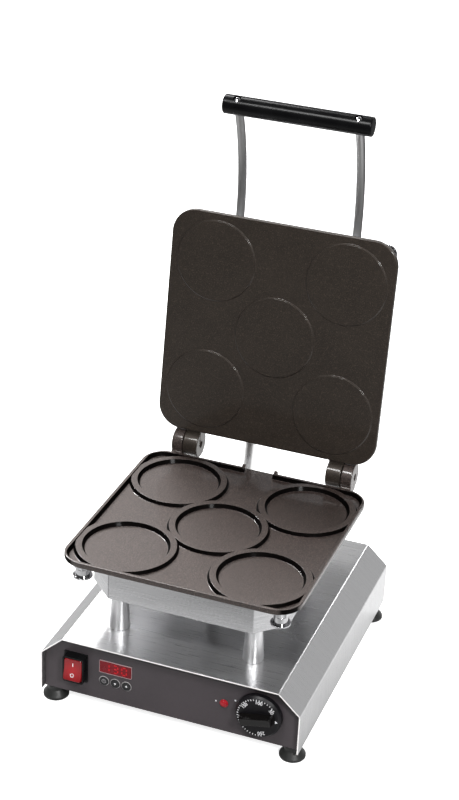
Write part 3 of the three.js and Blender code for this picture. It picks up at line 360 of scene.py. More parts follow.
def edge_bared(sheet):
    """The cut edges of a sheet that face the front are left bare, in a finish that glows faintly
    as a painted highlight.
    """
    sheet.data.materials.append(cut_steel_painted_glow)
    for face in sheet.data.polygons:
        if face.normal.y < -0.6:
            face.material_index = 1


housing_steel = brushed(finish(
    "housing_steel", (0.52, 0.52, 0.525), (0.60, 0.60, 0.605), cloud=1100,
    cloud_stretch=(0.012, 1, 0.012), roughness=(0.26, 0.35), wear=1400,
    wear_stretch=(0.02, 1, 0.02), bump=0.10, bump_scale=1700, bump_stretch=(0.012, 1, 0.012),
    depth=0.00003, Metallic=1.0), (0, 1, 0), 0.75)
# The bare cut steel glows faintly through its emission: a painted highlight along the front edges.
cut_steel_painted_glow = finish("cut_steel_painted_glow", (0.80, 0.78, 0.77), (0.88, 0.86, 0.85), cloud=200,
                   roughness=(0.45, 0.6), wear=400, Emission_Color=(1, 0.98, 0.96, 1),
                   Emission_Strength=0.15)
housing = corners_rounded(cad_copy("housing", "housing_shell"), outer_fold, 2.0 * mm, 4)
smoothed(edged(housing, 0.4 * mm))
fitted(housing, "base", "brushed_stainless", housing_steel, "housing_shell")
edge_bared(housing)

# Base plate and rear panel: plain satin steel sheets that close the housing, with cooling
# slots, and behind them the terminal block, the timer module and the thermostat.
satin_sheet = finish(
    "satin_sheet", (0.36, 0.36, 0.37), (0.46, 0.46, 0.47), cloud=25, roughness=(0.40, 0.52),
    wear=500, bump=0.15, bump_scale=1800, depth=0.00004, Metallic=1.0)
rear = dressed("rear_sheet", "rear_panel", 0.3 * mm, joined_faces=False)
fitted(rear, "base", "brushed_stainless", satin_sheet, "rear_panel")
bottom = dressed("bottom_sheet", "base_plate", 0.3 * mm, joined_faces=False)
fitted(bottom, "base", "satin_steel", satin_sheet, "base_plate")
edge_bared(bottom)
pale_moulding = finish("pale_moulding", (222, 218, 206), (232, 229, 220), roughness=(0.5, 0.6))
dark_moulding = finish("dark_moulding", (24, 24, 26), (30, 30, 32), roughness=(0.4, 0.5))
bright_steel = finish("bright_steel", (0.55, 0.55, 0.56), (0.66, 0.66, 0.67), cloud=60,
                      roughness=(0.25, 0.35), wear=600, Metallic=1.0)
for inner, material in {
    "terminal_block": pale_moulding,
    "control_module": dark_moulding,
    "thermostat_body": bright_steel,
    "thermostat_shaft": bright_steel,
}.items():
    coated(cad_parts[inner], material)


# Feet: flared discs of smooth black rubber with a neck, screwed up through the hem.
# Each stands under a corner of the base.
def eased(profile, steps=4):
    """A profile with rounded corners: a point is (radius, height) or (radius, height, round)."""
    points = []
    for index, point in enumerate(profile):
        here = Vector(point[:2])
        ease = point[2] if len(point) > 2 else 0
        if not ease or index in (0, len(profile) - 1):
            points.append(here)
            continue
        before = Vector(profile[index - 1][:2]) - here
        after = Vector(profile[index + 1][:2]) - here
        half = before.angle(after) / 2
        reach = min(ease / math.tan(half), 0.48 * before.length, 0.48 * after.length)
        start = here + before.normalized() * reach
        end = here + after.normalized() * reach
        for step in range(steps + 1):
            t = step / steps
            points.append(start * (1 - t) ** 2 + here * 2 * t * (1 - t) + end * t * t)
    return points


def drawn(name, points, closed=False):
    """A line of points (x, y, z), drawn by extruding one vertex from each to the next."""
    picked()
    bpy.ops.mesh.primitive_plane_add(size=0.01)
    piece = bpy.context.object
    piece.name = name
    piece.data.name = name
    opened(piece)
    bpy.ops.mesh.merge(type="CENTER")
    bpy.ops.transform.translate(value=points[0])
    for here, there in zip(points, points[1:]):
        step = Vector(there) - Vector(here)
        bpy.ops.mesh.extrude_vertices_move(TRANSFORM_OT_translate={"value": step})
    if closed:
        bpy.ops.object.mode_set(mode="OBJECT")
        for vertex in piece.data.vertices:
            vertex.select = vertex.index in (0, len(points) - 1)
        bpy.ops.object.mode_set(mode="EDIT")
        bpy.ops.mesh.edge_face_add()
    bpy.ops.mesh.select_all(action="SELECT")
    return piece


def sealed(piece, gap=0.001 * mm):
    """Ends the editing of a piece, with double points merged and its faces turned outwards."""
    bpy.ops.mesh.select_all(action="SELECT")
    bpy.ops.mesh.remove_doubles(threshold=gap)
    bpy.ops.mesh.normals_make_consistent(inside=False)
    bpy.ops.object.mode_set(mode="OBJECT")
    return piece


def turned(name, profile, steps=64, ring=False):
    """A turned piece: its profile, from the bottom of the axis to its top, spun all round."""
    piece = drawn(name, [(p.x, 0, p.y) for p in eased(profile)], closed=ring)
    bpy.ops.mesh.spin(steps=steps, angle=2 * math.pi, center=(0, 0, 0), axis=(0, 0, 1))
    return sealed(piece)


def at(x=0.0, y=0.0, z=0.0):
    """A move."""
    return Matrix.Translation((x, y, z))


def turn(angle, axis):
    """A turn about an axis."""
    return Matrix.Rotation(angle, 4, axis)


def placed(piece, matrix):
    """Carries a piece to its place, and leaves that place in its mesh."""
    picked(piece)
    piece.matrix_world = matrix
    bpy.ops.object.transform_apply(location=True, rotation=True, scale=True)
    return piece


def stood(piece, cad_node):
    """Carries a piece that was turned on the origin to the foot of a CAD solid."""
    low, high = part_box(cad_node)
    return placed(piece, at((low.x + high.x) / 2, (low.y + high.y) / 2, low.z))


def copied(piece, name):
    """A second piece of the same shape, with its own mesh."""
    twin = piece.copy()
    twin.data = piece.data.copy()
    twin.name = name
    scene.collection.objects.link(twin)
    return twin


def removed(*pieces):
    """Patterns and cutters go once they have been used."""
    for piece in pieces:
        bpy.data.objects.remove(piece)


rubber = finish("rubber", (22, 23, 22), (34, 35, 34), cloud=60, roughness=(0.38, 0.55), wear=200,
                bump=0.12, bump_scale=700)
corners = ("front_left", "front_right", "rear_left", "rear_right")
foot_radius = 14.5 * mm
foot_height = 15.7 * mm
neck_radius = 9.5 * mm
stub_radius = 3 * mm
stub_top = foot_height + 12 * mm
foot_pattern = smoothed(turned("foot_pattern", [
    (0, 0),
    (foot_radius - 2 * mm, 0, 0.8 * mm),
    (foot_radius, 1.2 * mm, 1 * mm),
    (foot_radius, 4 * mm, 1.2 * mm),
    (neck_radius, 11 * mm, 2 * mm),
    (neck_radius, foot_height, 0.4 * mm),
    (stub_radius, foot_height),
    (stub_radius, stub_top),
    (0, stub_top),
]))
for corner in corners:
    foot = stood(copied(foot_pattern, f"rubber_foot_{corner}"), f"foot_{corner}")
    fitted(foot, "base", "black_rubber", rubber, f"foot_{corner}")
removed(foot_pattern)

# Mains gland: a black plastic gland nut in the rear panel, where the mains lead comes out.
# Its hexagon and dome are one moulding, so its edges are rounded all together.
gland_plastic = finish("gland_plastic", (26, 26, 27), (34, 34, 35), cloud=80,
                       roughness=(0.35, 0.5))
mains = dressed("mains_gland_nut", "mains_gland", 0.4 * mm)
fitted(mains, "base", "black_plastic", gland_plastic, "mains_gland")

# Front panel: a charcoal painted steel plate, set back behind the edge of the housing.
# The switch, display, buttons, lamp and dial stand on its face.
panel_paint = finish(
    "panel_paint", (65, 60, 63), (72, 66, 69), cloud=18, roughness=(0.42, 0.55), wear=260,
    bump=0.22, bump_scale=1500, depth=0.00005, Specular_IOR_Level=0.35)
panel = dressed("control_panel", "front_panel", 0.25 * mm, joined_faces=False)
fitted(panel, "base", "panel_paint", panel_paint, "front_panel")
panel_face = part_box("front_panel")[0].y


def on_panel(x, z, out=0.0, angle=0.0):
    """From a drawing seen from in front (x right, y up, z outwards) to its place on the panel."""
    return at(x, panel_face - out, z) @ turn(-angle, "Y") @ turn(quarter_turn, "X")


def middle_of(cad_node):
    """The middle of a CAD solid's box."""
    low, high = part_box(cad_node)
    return (low + high) / 2


# Rocker switch: a lit red rocker, dished in front, in a deep black plastic frame that stands
# proud of the panel. Its marks are the plain line and ring of on and off.
def frame_corner(one, two):
    """True for the four outer corner edges of the frame, in front of the panel."""
    return (abs(one.y - two.y) > 3 * mm and max(one.y, two.y) < panel_face
            and all(alike(abs(end.x - switch_middle.x), frame_half_width)
                    and alike(abs(end.z - switch_middle.z), frame_half_height)
                    for end in (one, two)))


def rocker_corner(one, two):
    """True for the edges between the rocker's sides and its two round ends."""
    return alike(one.x, two.x) and all(
        alike(abs(end.x - pivot.x), rocker_half)
        and math.hypot(end.y - pivot.y, end.z - pivot.z) > rocker_radius - 0.2 * mm
        for end in (one, two))


def block(size, matrix=Matrix(), name="block"):
    """A box of this size about the origin, carried to its place."""
    picked()
    bpy.ops.mesh.primitive_cube_add(size=1)
    bpy.context.object.name = name
    return placed(bpy.context.object, matrix @ Matrix.Diagonal((*size, 1)))


switch_black = finish("switch_black", (9, 9, 10), (14, 14, 15), cloud=70, roughness=(0.4, 0.5),
                      wear=250, bump=0.05, bump_scale=700, Specular_IOR_Level=0.2)
switch_middle = middle_of("switch_frame")
frame_half_width = 12.4 * mm
frame_half_height = 16.3 * mm
switch = corners_rounded(cad_copy("switch_bezel", "switch_frame"), frame_corner, 2.6 * mm)
smoothed(edged(switch, 0.6 * mm, 3, 40))
fitted(switch, "base", "black_plastic", switch_black, "switch_frame")
rocker_red = finish(
    "rocker_red", (0.15, 0.002, 0.004), (0.20, 0.003, 0.006), cloud=60, roughness=(0.16, 0.24),
    wear=120, bump=0.03, bump_scale=400, Emission_Color=(0.8, 0.01, 0.02, 1))
rocker_half = 10.3 * mm
rocker_radius = 14.2 * mm
pivot = Vector((switch_middle.x, panel_face - 5.5 * mm, switch_middle.z))
rocker = corners_rounded(cad_copy("rocker", "power_rocker"), rocker_corner, 2.4 * mm)
smoothed(edged(rocker, 0.5 * mm, 3, 40))
fitted(rocker, "rocker", "red_plastic", rocker_red, "power_rocker")
tree = rocker_red.node_tree
bulb_distance = node(tree, "VectorMath", node(tree, "TexCoord")["Object"],
                     pivot - Vector((0, 5 * mm, 0)), operation="DISTANCE")["Value"]
surfaced(rocker_red, Emission_Strength=mapped(tree, bulb_distance, 2 * mm, 14 * mm, 0.26, 0.05))

mark_white = finish("mark_white", (228, 228, 230), (242, 242, 244), cloud=90,
                    roughness=(0.45, 0.6), bump=0.03)
mark_out = 5.87 * mm
mark_up = 6.27 * mm
face_slope = math.radians(7.27)
rocker_tilt = at(*pivot) @ turn(-math.radians(10), "X")
on_mark = edged(block((1.0 * mm, 4.2 * mm, 0.14 * mm)), 0.03 * mm, 1)
off_mark = turned("off_mark", [
    (1.5 * mm, -0.07 * mm), (1.5 * mm, 0.07 * mm), (2.2 * mm, 0.07 * mm), (2.2 * mm, -0.07 * mm),
], 32, ring=True)
for side, mark, name in ((1, on_mark, "rocker_on_mark"), (-1, off_mark, "rocker_off_mark")):
    leaning = turn(quarter_turn + side * face_slope, "X")
    placed(mark, rocker_tilt @ at(0, -mark_out, side * mark_up) @ leaning)
    mark.name = name
    fitted(mark, "rocker", "pale_plastic", mark_white)


# Display: a dark red filter in a thin pale frame, with three lit numerals behind its face.
# The frame is also the body that sits in the panel.
def squared(name, profile, corner, wider=0.0, corner_steps=8):
    """A rounded square: the profile gives half its height and a level, from low to high.
    Where it is wider than it is high, half of the difference is given too."""
    points = eased(profile)
    picked()
    bpy.ops.mesh.primitive_plane_add(size=2)
    piece = bpy.context.object
    piece.name = name
    piece.data.name = name
    opened(piece)
    half = points[0].x
    bpy.ops.transform.resize(value=(half + wider, half, 1), center_override=(0, 0, 0))
    bpy.ops.transform.translate(value=(0, 0, points[0].y))
    bpy.ops.mesh.bevel(offset=corner, offset_type="OFFSET", segments=corner_steps,
                       affect="VERTICES")
    bpy.ops.mesh.select_all(action="SELECT")
    for here, there in zip(points, points[1:]):
        rise = (0, 0, there.y - here.y)
        bpy.ops.mesh.extrude_region_move(TRANSFORM_OT_translate={"value": rise})
        if there.x != here.x:
            ratio = ((there.x + wider) / (here.x + wider), there.x / here.x, 1)
            bpy.ops.transform.resize(value=ratio, center_override=(0, 0, 0))
    return sealed(piece, 0.0005 * mm)


def joined(name, pieces):
    """Several small pieces of one finish as one piece."""
    picked(*pieces)
    bpy.ops.object.join()
    whole = bpy.context.object
    whole.name = name
    whole.data.name = name
    return whole


window_low, window_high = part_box("display_window")
display = middle_of("display_window")
window_proud = panel_face - window_low.y
window_half = 8 * mm
window_wider = 11.2 * mm
filter_edge = window_half - 0.5 * mm
window = squared("display_surround", [
    (window_half, panel_face - window_high.y),
    (window_half, window_proud, 0.3 * mm),
    (filter_edge, window_proud, 0.2 * mm),
    (filter_edge - 0.1 * mm, window_proud - 0.45 * mm),
], 1.6 * mm, window_wider)
smoothed(placed(window, on_panel(display.x, display.z)))
frame_pale = finish("frame_pale", (160, 134, 136), (176, 150, 152), cloud=80,
                    roughness=(0.3, 0.45), bump=0.04)
fitted(window, "base", "pale_plastic", frame_pale, "display_window")
filter_red = finish("filter_red", (104, 12, 22), (118, 16, 27), cloud=50, roughness=(0.2, 0.3),
                    wear=80, bump=0.02, Specular_IOR_Level=0.25)
glass = squared("display_filter", [
    (filter_edge - 0.15 * mm, window_proud - 0.5 * mm),
    (filter_edge - 0.15 * mm, window_proud - 0.2 * mm, 0.1 * mm),
    (filter_edge - 0.4 * mm, window_proud - 0.2 * mm),
], 1 * mm, window_wider)
smoothed(placed(glass, on_panel(display.x, display.z)))
fitted(glass, "base", "display_red", filter_red)
lit_red = finish("lit_red", (0.20, 0.004, 0.006), (0.25, 0.006, 0.01), roughness=(0.2, 0.3),
                 Emission_Color=(0.9, 0.008, 0.02, 1), Emission_Strength=0.35,
                 Specular_IOR_Level=0.25)
half_digit = 4.7 * mm
digit_width = 5.4 * mm
digit_pitch = 10.2 * mm
segment_width = 1.5 * mm
segment_gap = 0.4 * mm


def display_segment(x, y, length, upright):
    """One bar of a numeral, with pointed ends."""
    piece = block((length - segment_width, segment_width, 0.1 * mm), name="segment")
    for side in (1, -1):
        bpy.ops.object.mode_set(mode="OBJECT")
        for face in piece.data.polygons:
            face.select = face.normal.x * side > 0.9
        bpy.ops.object.mode_set(mode="EDIT")
        bpy.ops.mesh.select_mode(type="FACE")
        point = (side * 0.4 * segment_width, 0, 0)
        bpy.ops.mesh.extrude_region_move(TRANSFORM_OT_translate={"value": point})
        bpy.ops.transform.resize(value=(1, 0.15, 1))
        bpy.ops.mesh.select_mode(type="VERT")
    return placed(piece, at(x, y) @ turn(quarter_turn if upright else 0, "Z"))


bars = {
    "top": (0, half_digit, False),
    "middle": (0, 0, False),
    "bottom": (0, -half_digit, False),
    "top_left": (-digit_width / 2, half_digit / 2, True),
    "top_right": (digit_width / 2, half_digit / 2, True),
    "bottom_left": (-digit_width / 2, -half_digit / 2, True),
    "bottom_right": (digit_width / 2, -half_digit / 2, True),
}
numerals = [
    ("top_right", "bottom_right"),
    ("top", "middle", "bottom", "top_right", "bottom_right"),
    ("top", "bottom", "top_left", "top_right", "bottom_left", "bottom_right"),
]
segments = []
for index, numeral in enumerate(numerals):
    for bar in numeral:
        x, y, upright = bars[bar]
        length = (half_digit if upright else digit_width) - segment_gap
        segments.append(display_segment(x + (index - 1) * digit_pitch, y, length, upright))
digits = joined("display_numerals", segments)
placed(digits, on_panel(display.x, display.z, window_proud - 0.17 * mm))
fitted(digits, "base", "display_red", lit_red)


# Push-buttons: three small black buttons in thin grey rings, each with a plain white mark:
# a clock on the first, then a triangle down and a triangle up.
def cylinder(sides, radius, low, high, matrix=Matrix()):
    """A cylinder round the z axis from one height to another, carried to its place."""
    picked()
    bpy.ops.mesh.primitive_cylinder_add(vertices=sides, radius=radius, depth=high - low)
    return placed(bpy.context.object, matrix @ at(0, 0, (low + high) / 2))


def flat_mark(name, sides, radius, angle=0.0):
    """A thin printed mark with straight sides."""
    mark = cylinder(sides, radius, -mark_half, mark_half, turn(angle, "Z"))
    mark.name = name
    return edged(mark, 0.03 * mm, 1)


def clock_mark():
    """A ring with two hands. A hand's edges are eased before it is drawn out to its length."""
    parts = [turned("clock_ring", [
        (2.0 * mm, -mark_half),
        (2.0 * mm, mark_half),
        (2.5 * mm, mark_half),
        (2.5 * mm, -mark_half),
    ], 32, ring=True)]
    for length, angle in ((1.7 * mm, quarter_turn), (1.2 * mm, 0.2)):
        hand = edged(block((1, 1, 1)), 0.02, 1)
        shape = Matrix.Diagonal((length, 0.45 * mm, 2 * mark_half, 1))
        parts.append(placed(hand, turn(angle, "Z") @ at(length / 2) @ shape))
    return joined("clock_mark", parts)


button_black = finish("button_black", (18, 18, 20), (26, 26, 28), cloud=90,
                      roughness=(0.3, 0.42), bump=0.06)
ring_grey = finish("ring_grey", (150, 147, 147), (178, 175, 175), cloud=90,
                   roughness=(0.35, 0.5), bump=0.05)
mark_grey = finish("mark_grey", (150, 147, 150), (170, 167, 170), cloud=90,
                   roughness=(0.45, 0.6), bump=0.03)
mark_half = 0.06 * mm
button_radius = 5.2 * mm
button_out = 1.4 * mm
collar_back = -3.3 * mm
collar_front = -2.3 * mm
button_pattern = smoothed(turned("button_pattern", [
    (0, collar_back),
    (6.2 * mm, collar_back),
    (6.2 * mm, collar_front),
    (button_radius, collar_front),
    (button_radius, button_out - 0.2 * mm, 0.5 * mm),
    (button_radius - 1.3 * mm, button_out, 0.3 * mm),
    (button_radius - 1.9 * mm, button_out - 0.35 * mm, 0.5 * mm),
    (0, button_out - 0.5 * mm),
]))
ring_pattern = smoothed(turned("ring_pattern", [
    (button_radius + 0.1 * mm, 0.02 * mm),
    (button_radius + 0.1 * mm, 0.4 * mm, 0.15 * mm),
    (button_radius + 0.75 * mm, 0.4 * mm, 0.2 * mm),
    (button_radius + 0.8 * mm, 0.02 * mm),
], ring=True))
for name, mark, material in (
    ("mode", clock_mark(), mark_grey),
    ("down", flat_mark("down_mark", 3, 1.7 * mm, math.pi), mark_white),
    ("up", flat_mark("up_mark", 3, 1.7 * mm), mark_white),
):
    middle = middle_of(f"button_{name}")
    spot = on_panel(middle.x, middle.z)
    button = placed(copied(button_pattern, f"{name}_button_cap"), spot)
    fitted(button, f"{name}_button", "black_plastic", button_black, f"button_{name}")
    ring = placed(copied(ring_pattern, f"{name}_button_ring"), spot)
    fitted(ring, "base", "pale_plastic", ring_grey)
    placed(mark, spot @ at(0, 0, button_out - 0.42 * mm))
    mark.name = f"{name}_button_mark"
    fitted(mark, f"{name}_button", "pale_plastic", material)
removed(button_pattern, ring_pattern)

# Pilot lamp: a red moulded dome in a thin rim, with its plain round mark printed beside it.
# A narrower body behind goes through the panel.
lamp_red = finish("lamp_red", (0.26, 0.006, 0.012), (0.34, 0.01, 0.018), cloud=90,
                  roughness=(0.1, 0.18), wear=100, bump=0.03, Emission_Color=(0.8, 0.01, 0.02, 1),
                  Emission_Strength=0.06)
low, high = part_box("pilot_lamp")
middle = middle_of("pilot_lamp")
lamp_radius = (high.x - low.x) / 2
lamp_back = panel_face - high.y
lamp_out = panel_face - low.y
lamp = turned("pilot_lamp_dome", [
    (0, lamp_back),
    (3.6 * mm, lamp_back),
    (3.6 * mm, 0.3 * mm),
    (lamp_radius, 0.3 * mm),
    (lamp_radius, 1.1 * mm, 0.4 * mm),
    (lamp_radius - 0.8 * mm, 1.3 * mm, 0.2 * mm),
    (lamp_radius - 1.1 * mm, 2.2 * mm, 1.2 * mm),
    (lamp_radius - 2.6 * mm, lamp_out, 1.6 * mm),
    (0, lamp_out),
], 48)
smoothed(placed(lamp, on_panel(middle.x, middle.z)))
fitted(lamp, "base", "red_plastic", lamp_red, "pilot_lamp")
lamp_mark = flat_mark("pilot_lamp_mark", 24, 0.9 * mm)
placed(lamp_mark, on_panel(middle.x - 9.4 * mm, middle.z + 0.4 * mm, 0.05 * mm))
fitted(lamp_mark, "base", "pale_plastic", mark_white)


# Dial: a black moulded knob with a printed scale round its face and a bar across it to
# turn it by. It pushes onto the thermostat's shaft, and a dot on the panel reads the scale.
def points_opened(piece, chosen):
    """Edit mode, with the points that the test picks, and what lies between them, selected."""
    for vertex in piece.data.vertices:
        vertex.select = chosen(vertex.co)
    for part in (*piece.data.edges, *piece.data.polygons):
        part.select = all(piece.data.vertices[v].select for v in part.vertices)
    bpy.ops.object.mode_set(mode="EDIT")


dial_black = finish("dial_black", (10, 9, 12), (16, 14, 18), cloud=60, roughness=(0.38, 0.5),
                    wear=240, bump_scale=1100, Specular_IOR_Level=0.3)
grip_black = finish("grip_black", (10, 9, 9), (16, 14, 13), cloud=60, roughness=(0.14, 0.22),
                    wear=160, bump=0.04)
middle = middle_of("thermostat_dial")
dial_radius = 26 * mm
dial_face_radius = 23.5 * mm
dial_bore = 3.3 * mm
dial_thickness = 9 * mm
dial_back = 1 * mm
disc = turned("dial_disc", [
    (dial_bore, 0),
    (dial_radius - 0.6 * mm, 0, 0.4 * mm),
    (dial_radius, 0.8 * mm, 0.5 * mm),
    (dial_radius - 0.1 * mm, dial_thickness * 2 / 3, 0.8 * mm),
    (dial_face_radius, dial_thickness, 0.8 * mm),
    (dial_bore, dial_thickness),
], 128, ring=True)
smoothed(placed(disc, on_panel(middle.x, middle.z, dial_back)))
fitted(disc, "dial", "black_plastic", dial_black, "thermostat_dial")
bar_length = 40 * mm
bar_foot = 10.5 * mm
bar_top = 8 * mm
bar_height = 10.4 * mm
bar_turn = math.radians(12)
grip_bar = block((bar_length, bar_foot, bar_height),
                 at(0, 0, dial_thickness + bar_height / 2 - 0.2 * mm), "dial_grip_bar")
points_opened(grip_bar, lambda point: point.z > dial_thickness + 1 * mm)
bpy.ops.transform.resize(value=((bar_length - 6 * mm) / bar_length, bar_top / bar_foot, 1),
                         center_override=(0, 0, 0))
bpy.ops.mesh.inset(thickness=1.2 * mm)
bpy.ops.transform.translate(value=(0, 0, -0.5 * mm))
bpy.ops.object.mode_set(mode="OBJECT")
edged(grip_bar, 0.7 * mm, 3)
smoothed(placed(grip_bar, on_panel(middle.x, middle.z, dial_back, bar_turn)))
fitted(grip_bar, "dial", "black_plastic", grip_black)

scale_marks = []
scale_first = 38
scale_last = 286
tick_step = 8.2
tick_radius = 22.3 * mm
number_radius = 19.0 * mm
for index in range(int((scale_last - scale_first) / tick_step) + 1):
    spot = turn(math.radians(scale_first + index * tick_step), "Z") @ at(tick_radius)
    tick = flat_mark("tick", 4, 0.75 * mm, math.pi / 4)
    scale_marks.append(placed(tick, spot @ Matrix.Diagonal((1.5, 0.85, 1, 1))))
for text, degrees in (("50", 38), ("100", 88), ("150", 142), ("200", 196), ("250", 286)):
    picked()
    bpy.ops.object.text_add()
    number = bpy.context.object
    number.data.body = text
    number.data.size = 5.6 * mm
    number.data.extrude = 0.06 * mm
    number.data.offset = 0.10 * mm
    number.data.align_x = "CENTER"
    number.data.align_y = "CENTER"
    bpy.ops.object.convert(target="MESH")
    upright = turn(math.radians(degrees) - quarter_turn, "Z")
    scale_marks.append(placed(number, upright @ at(0, number_radius)))
pointer = flat_mark("pointer", 3, 2.3 * mm, -quarter_turn)
scale_marks.append(placed(pointer, at(20.6 * mm)))
scale = joined("dial_scale", scale_marks)
placed(scale, on_panel(middle.x, middle.z, dial_back + dial_thickness + 0.05 * mm))
fitted(scale, "dial", "pale_plastic", mark_white)
panel_dot = flat_mark("panel_dot", 24, 1.1 * mm)
placed(panel_dot, on_panel(middle.x - 28.5 * mm, middle.z + 7.4 * mm, 0.05 * mm))
fitted(panel_dot, "base", "pale_plastic", mark_white)

# Pillars: four turned aluminium spacers that carry the cooking heads, each with a bolt
# through it, and between them the sleeve that brings up the wires of the heater.
turned_aluminium = finish(
    "turned_aluminium", (0.72, 0.72, 0.73), (0.82, 0.82, 0.83), cloud=50, roughness=(0.34, 0.44),
    wear=1200, wear_stretch=(0.05, 0.05, 1), bump=0.2, bump_scale=1600,
    bump_stretch=(0.03, 0.03, 1), depth=0.00003, Metallic=1.0)
pillar_bore = 2.8 * mm
pillar_foot = 11.5 * mm
pillar_height = 46 * mm
pillar_pattern = smoothed(turned("pillar_pattern", [
    (pillar_bore, 0),
    (pillar_foot, 0, 0.5 * mm),
    (pillar_foot, 3 * mm, 0.6 * mm),
    (8.5 * mm, pillar_height, 0.5 * mm),
    (pillar_bore, pillar_height),
], 72, ring=True))
for corner in corners:
    pillar = stood(copied(pillar_pattern, f"spacer_{corner}"), f"pillar_{corner}")
    fitted(pillar, "base", "satin_aluminium", turned_aluminium, f"pillar_{corner}")
    coated(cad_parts[f"pillar_bolt_{corner}"], bright_steel)
removed(pillar_pattern)
low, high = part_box("wire_sleeve")
sleeve_height = high.z - low.z
sleeve = smoothed(turned("wire_tube", [
    (7.5 * mm, 0),
    (9 * mm, 0, 0.3 * mm),
    (9 * mm, sleeve_height, 0.3 * mm),
    (7.5 * mm, sleeve_height),
], 48, ring=True))
stood(sleeve, "wire_sleeve")
fitted(sleeve, "base", "satin_steel", bright_steel, "wire_sleeve")


# Lower casing: an eight-sided pan of brushed stainless sheet, with the heater and its mat
# inside, closed by the carrier plate that the cooking plate is screwed to.
def combined(piece, tool, operation):
    """One closed solid of two. The second of them is used up."""
    modified(piece, "BOOLEAN", operation=operation, solver="MANIFOLD", object=tool)
    removed(tool)
    return piece


def cut(piece, tool):
    """Cuts the tool out of the piece."""
    return combined(piece, tool, "DIFFERENCE")


def added(piece, other):
    """Joins the other on to the piece."""
    return combined(piece, other, "UNION")


def seamed(pan, middle):
    """Scores the eight upright corners of a pan, where its folded sides meet."""
    corner = Vector((casing_half, casing_half - casing_chamfer, 0))
    lean = math.atan2(corner.y, corner.x)
    for quarter in range(4):
        for side in (-1, 1):
            outwards = turn(quarter * quarter_turn + side * lean, "Z") @ at(corner.length)
            bisecting = turn(side * (math.radians(22.5) - lean), "Z")
            cut(pan, block((1.5 * mm, 0.8 * mm, 200 * mm), middle @ outwards @ bisecting))
    return pan


casing_steel = brushed(finish(
    "casing_steel", (0.52, 0.52, 0.53), (0.61, 0.61, 0.62), cloud=18, cloud_stretch=(0.4, 0.4, 1),
    roughness=(0.24, 0.34), wear=1500, wear_stretch=(0.02, 0.02, 1), bump=0.2, bump_scale=2000,
    bump_stretch=(0.02, 0.02, 1), depth=0.00003, Metallic=1.0), (0, 0, 1), 0.7)
casing_half = 113 * mm
casing_chamfer = 30 * mm
score_level = 0.1
head_y = front_edge + 141 * mm
lower_pan = dressed("lower_pan", "lower_casing", 0.7 * mm, segments=3)
smoothed(seamed(lower_pan, at(0, head_y, score_level)))
fitted(lower_pan, "base", "brushed_stainless", casing_steel, "lower_casing")
lower_sheet = dressed("lower_carrier_plate", "lower_carrier", 0.6 * mm)
fitted(lower_sheet, "base", "satin_steel", satin_sheet, "lower_carrier")
heater_steel = finish("heater_steel", (0.10, 0.095, 0.09), (0.17, 0.155, 0.14), cloud=70,
                      roughness=(0.45, 0.6), wear=400, Metallic=0.9)
tray_steel = finish("tray_steel", (0.55, 0.55, 0.56), (0.68, 0.68, 0.69), cloud=30,
                    roughness=(0.25, 0.4), wear=500, Metallic=1.0)
mineral = finish("mineral", (212, 204, 184), (228, 222, 206), cloud=160, roughness=(0.9, 1.0),
                 bump=0.6, depth=0.0004)
for head in ("lower", "upper"):
    coated(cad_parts[f"{head}_element"], heater_steel)
    coated(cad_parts[f"{head}_reflector"], tray_steel)
    coated(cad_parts[f"{head}_insulation"], mineral)


# Lower plate: cast aluminium under a dark speckled non-stick coating. A rim and a gutter go
# round five round moulds with soft feet and lips; behind are the spout and the hinge lugs.
def extruded(name, outline, left, right, edge):
    """A solid of one outline (y, z) from one side to the other, its edges rounded."""
    piece = drawn(name, [(left, y, z) for y, z in outline], closed=True)
    bpy.ops.mesh.edge_face_add()
    bpy.ops.mesh.extrude_region_move(TRANSFORM_OT_translate={"value": (right - left, 0, 0)})
    sealed(piece)
    return edged(piece, edge, 3, 40) if edge else piece


def bored(piece, x, y, low, high, radius):
    """Drills a round hole straight down."""
    return cut(piece, cylinder(32, radius, low, high, at(x, y)))


def cast_coating(name, dark, light, fleck, roughness, wall_shade, gloss, tint):
    """A rough cast surface under a coating with fine flecks, and painted shade that darkens the
    colour and dims the shine on the walls of its hollows.
    """
    material = finish(name, dark, light, cloud=26, roughness=roughness, wear=420, bump=0.6,
                      depth=0.00012, Coat_Roughness=0.10, Specular_Tint=tint)
    tree = material.node_tree
    ground = tree.nodes["Principled BSDF"].inputs["Base Color"].links[0].from_socket
    flecks = mapped(tree, noise_of(tree, 1100, detail=3.0), 0.52, 0.68)
    piece = node(tree, "TexCoord")
    # Painted shade: faces steeper than about 30 to 40 degrees (the walls of the moulds, gutter and
    # rim) get a darker colour and less shine; parts beyond the plate's edge are spared.
    upright = mapped(tree, node(tree, "SeparateXYZ", piece["Normal"])["Z"], 0.74, 0.86, wall_shade)
    place = node(tree, "SeparateXYZ", piece["Object"])
    along = worked_out(tree, "SUBTRACT", place["Y"], head_y)
    from_middle = worked_out(tree, "MAXIMUM", worked_out(tree, "ABSOLUTE", place["X"]),
                             worked_out(tree, "ABSOLUTE", along))
    outside = mapped(tree, from_middle, 132 * mm, 134 * mm)
    painted_shade_level = worked_out(tree, "ADD", upright, outside, use_clamp=True)
    shine = worked_out(tree, "MULTIPLY", painted_shade_level, gloss)
    return surfaced(material, Base_Color=scaled(tree, mixed(tree, flecks, ground, fleck), painted_shade_level),
                    Specular_IOR_Level=shine, Coat_Weight=shine)


plate_half = 135 * mm
plate_corner = 28 * mm
core_corner = plate_corner - 7 * mm
corner_steps = 14
plate_thickness = 10 * mm
flange_low = -6.2 * mm
rim_inner = 131.2 * mm
gutter_floor = -5 * mm
land_top = -1 * mm
land_radius = 55 * mm
land_foot = gutter_floor - 0.02 * mm
mould_floor = -5.6 * mm
mould_radius = 48 * mm
mould_floor_radius = 45.2 * mm
mould_reach = 77.5 * mm
screw_reach = 113 * mm
stud_hole = 2.8 * mm
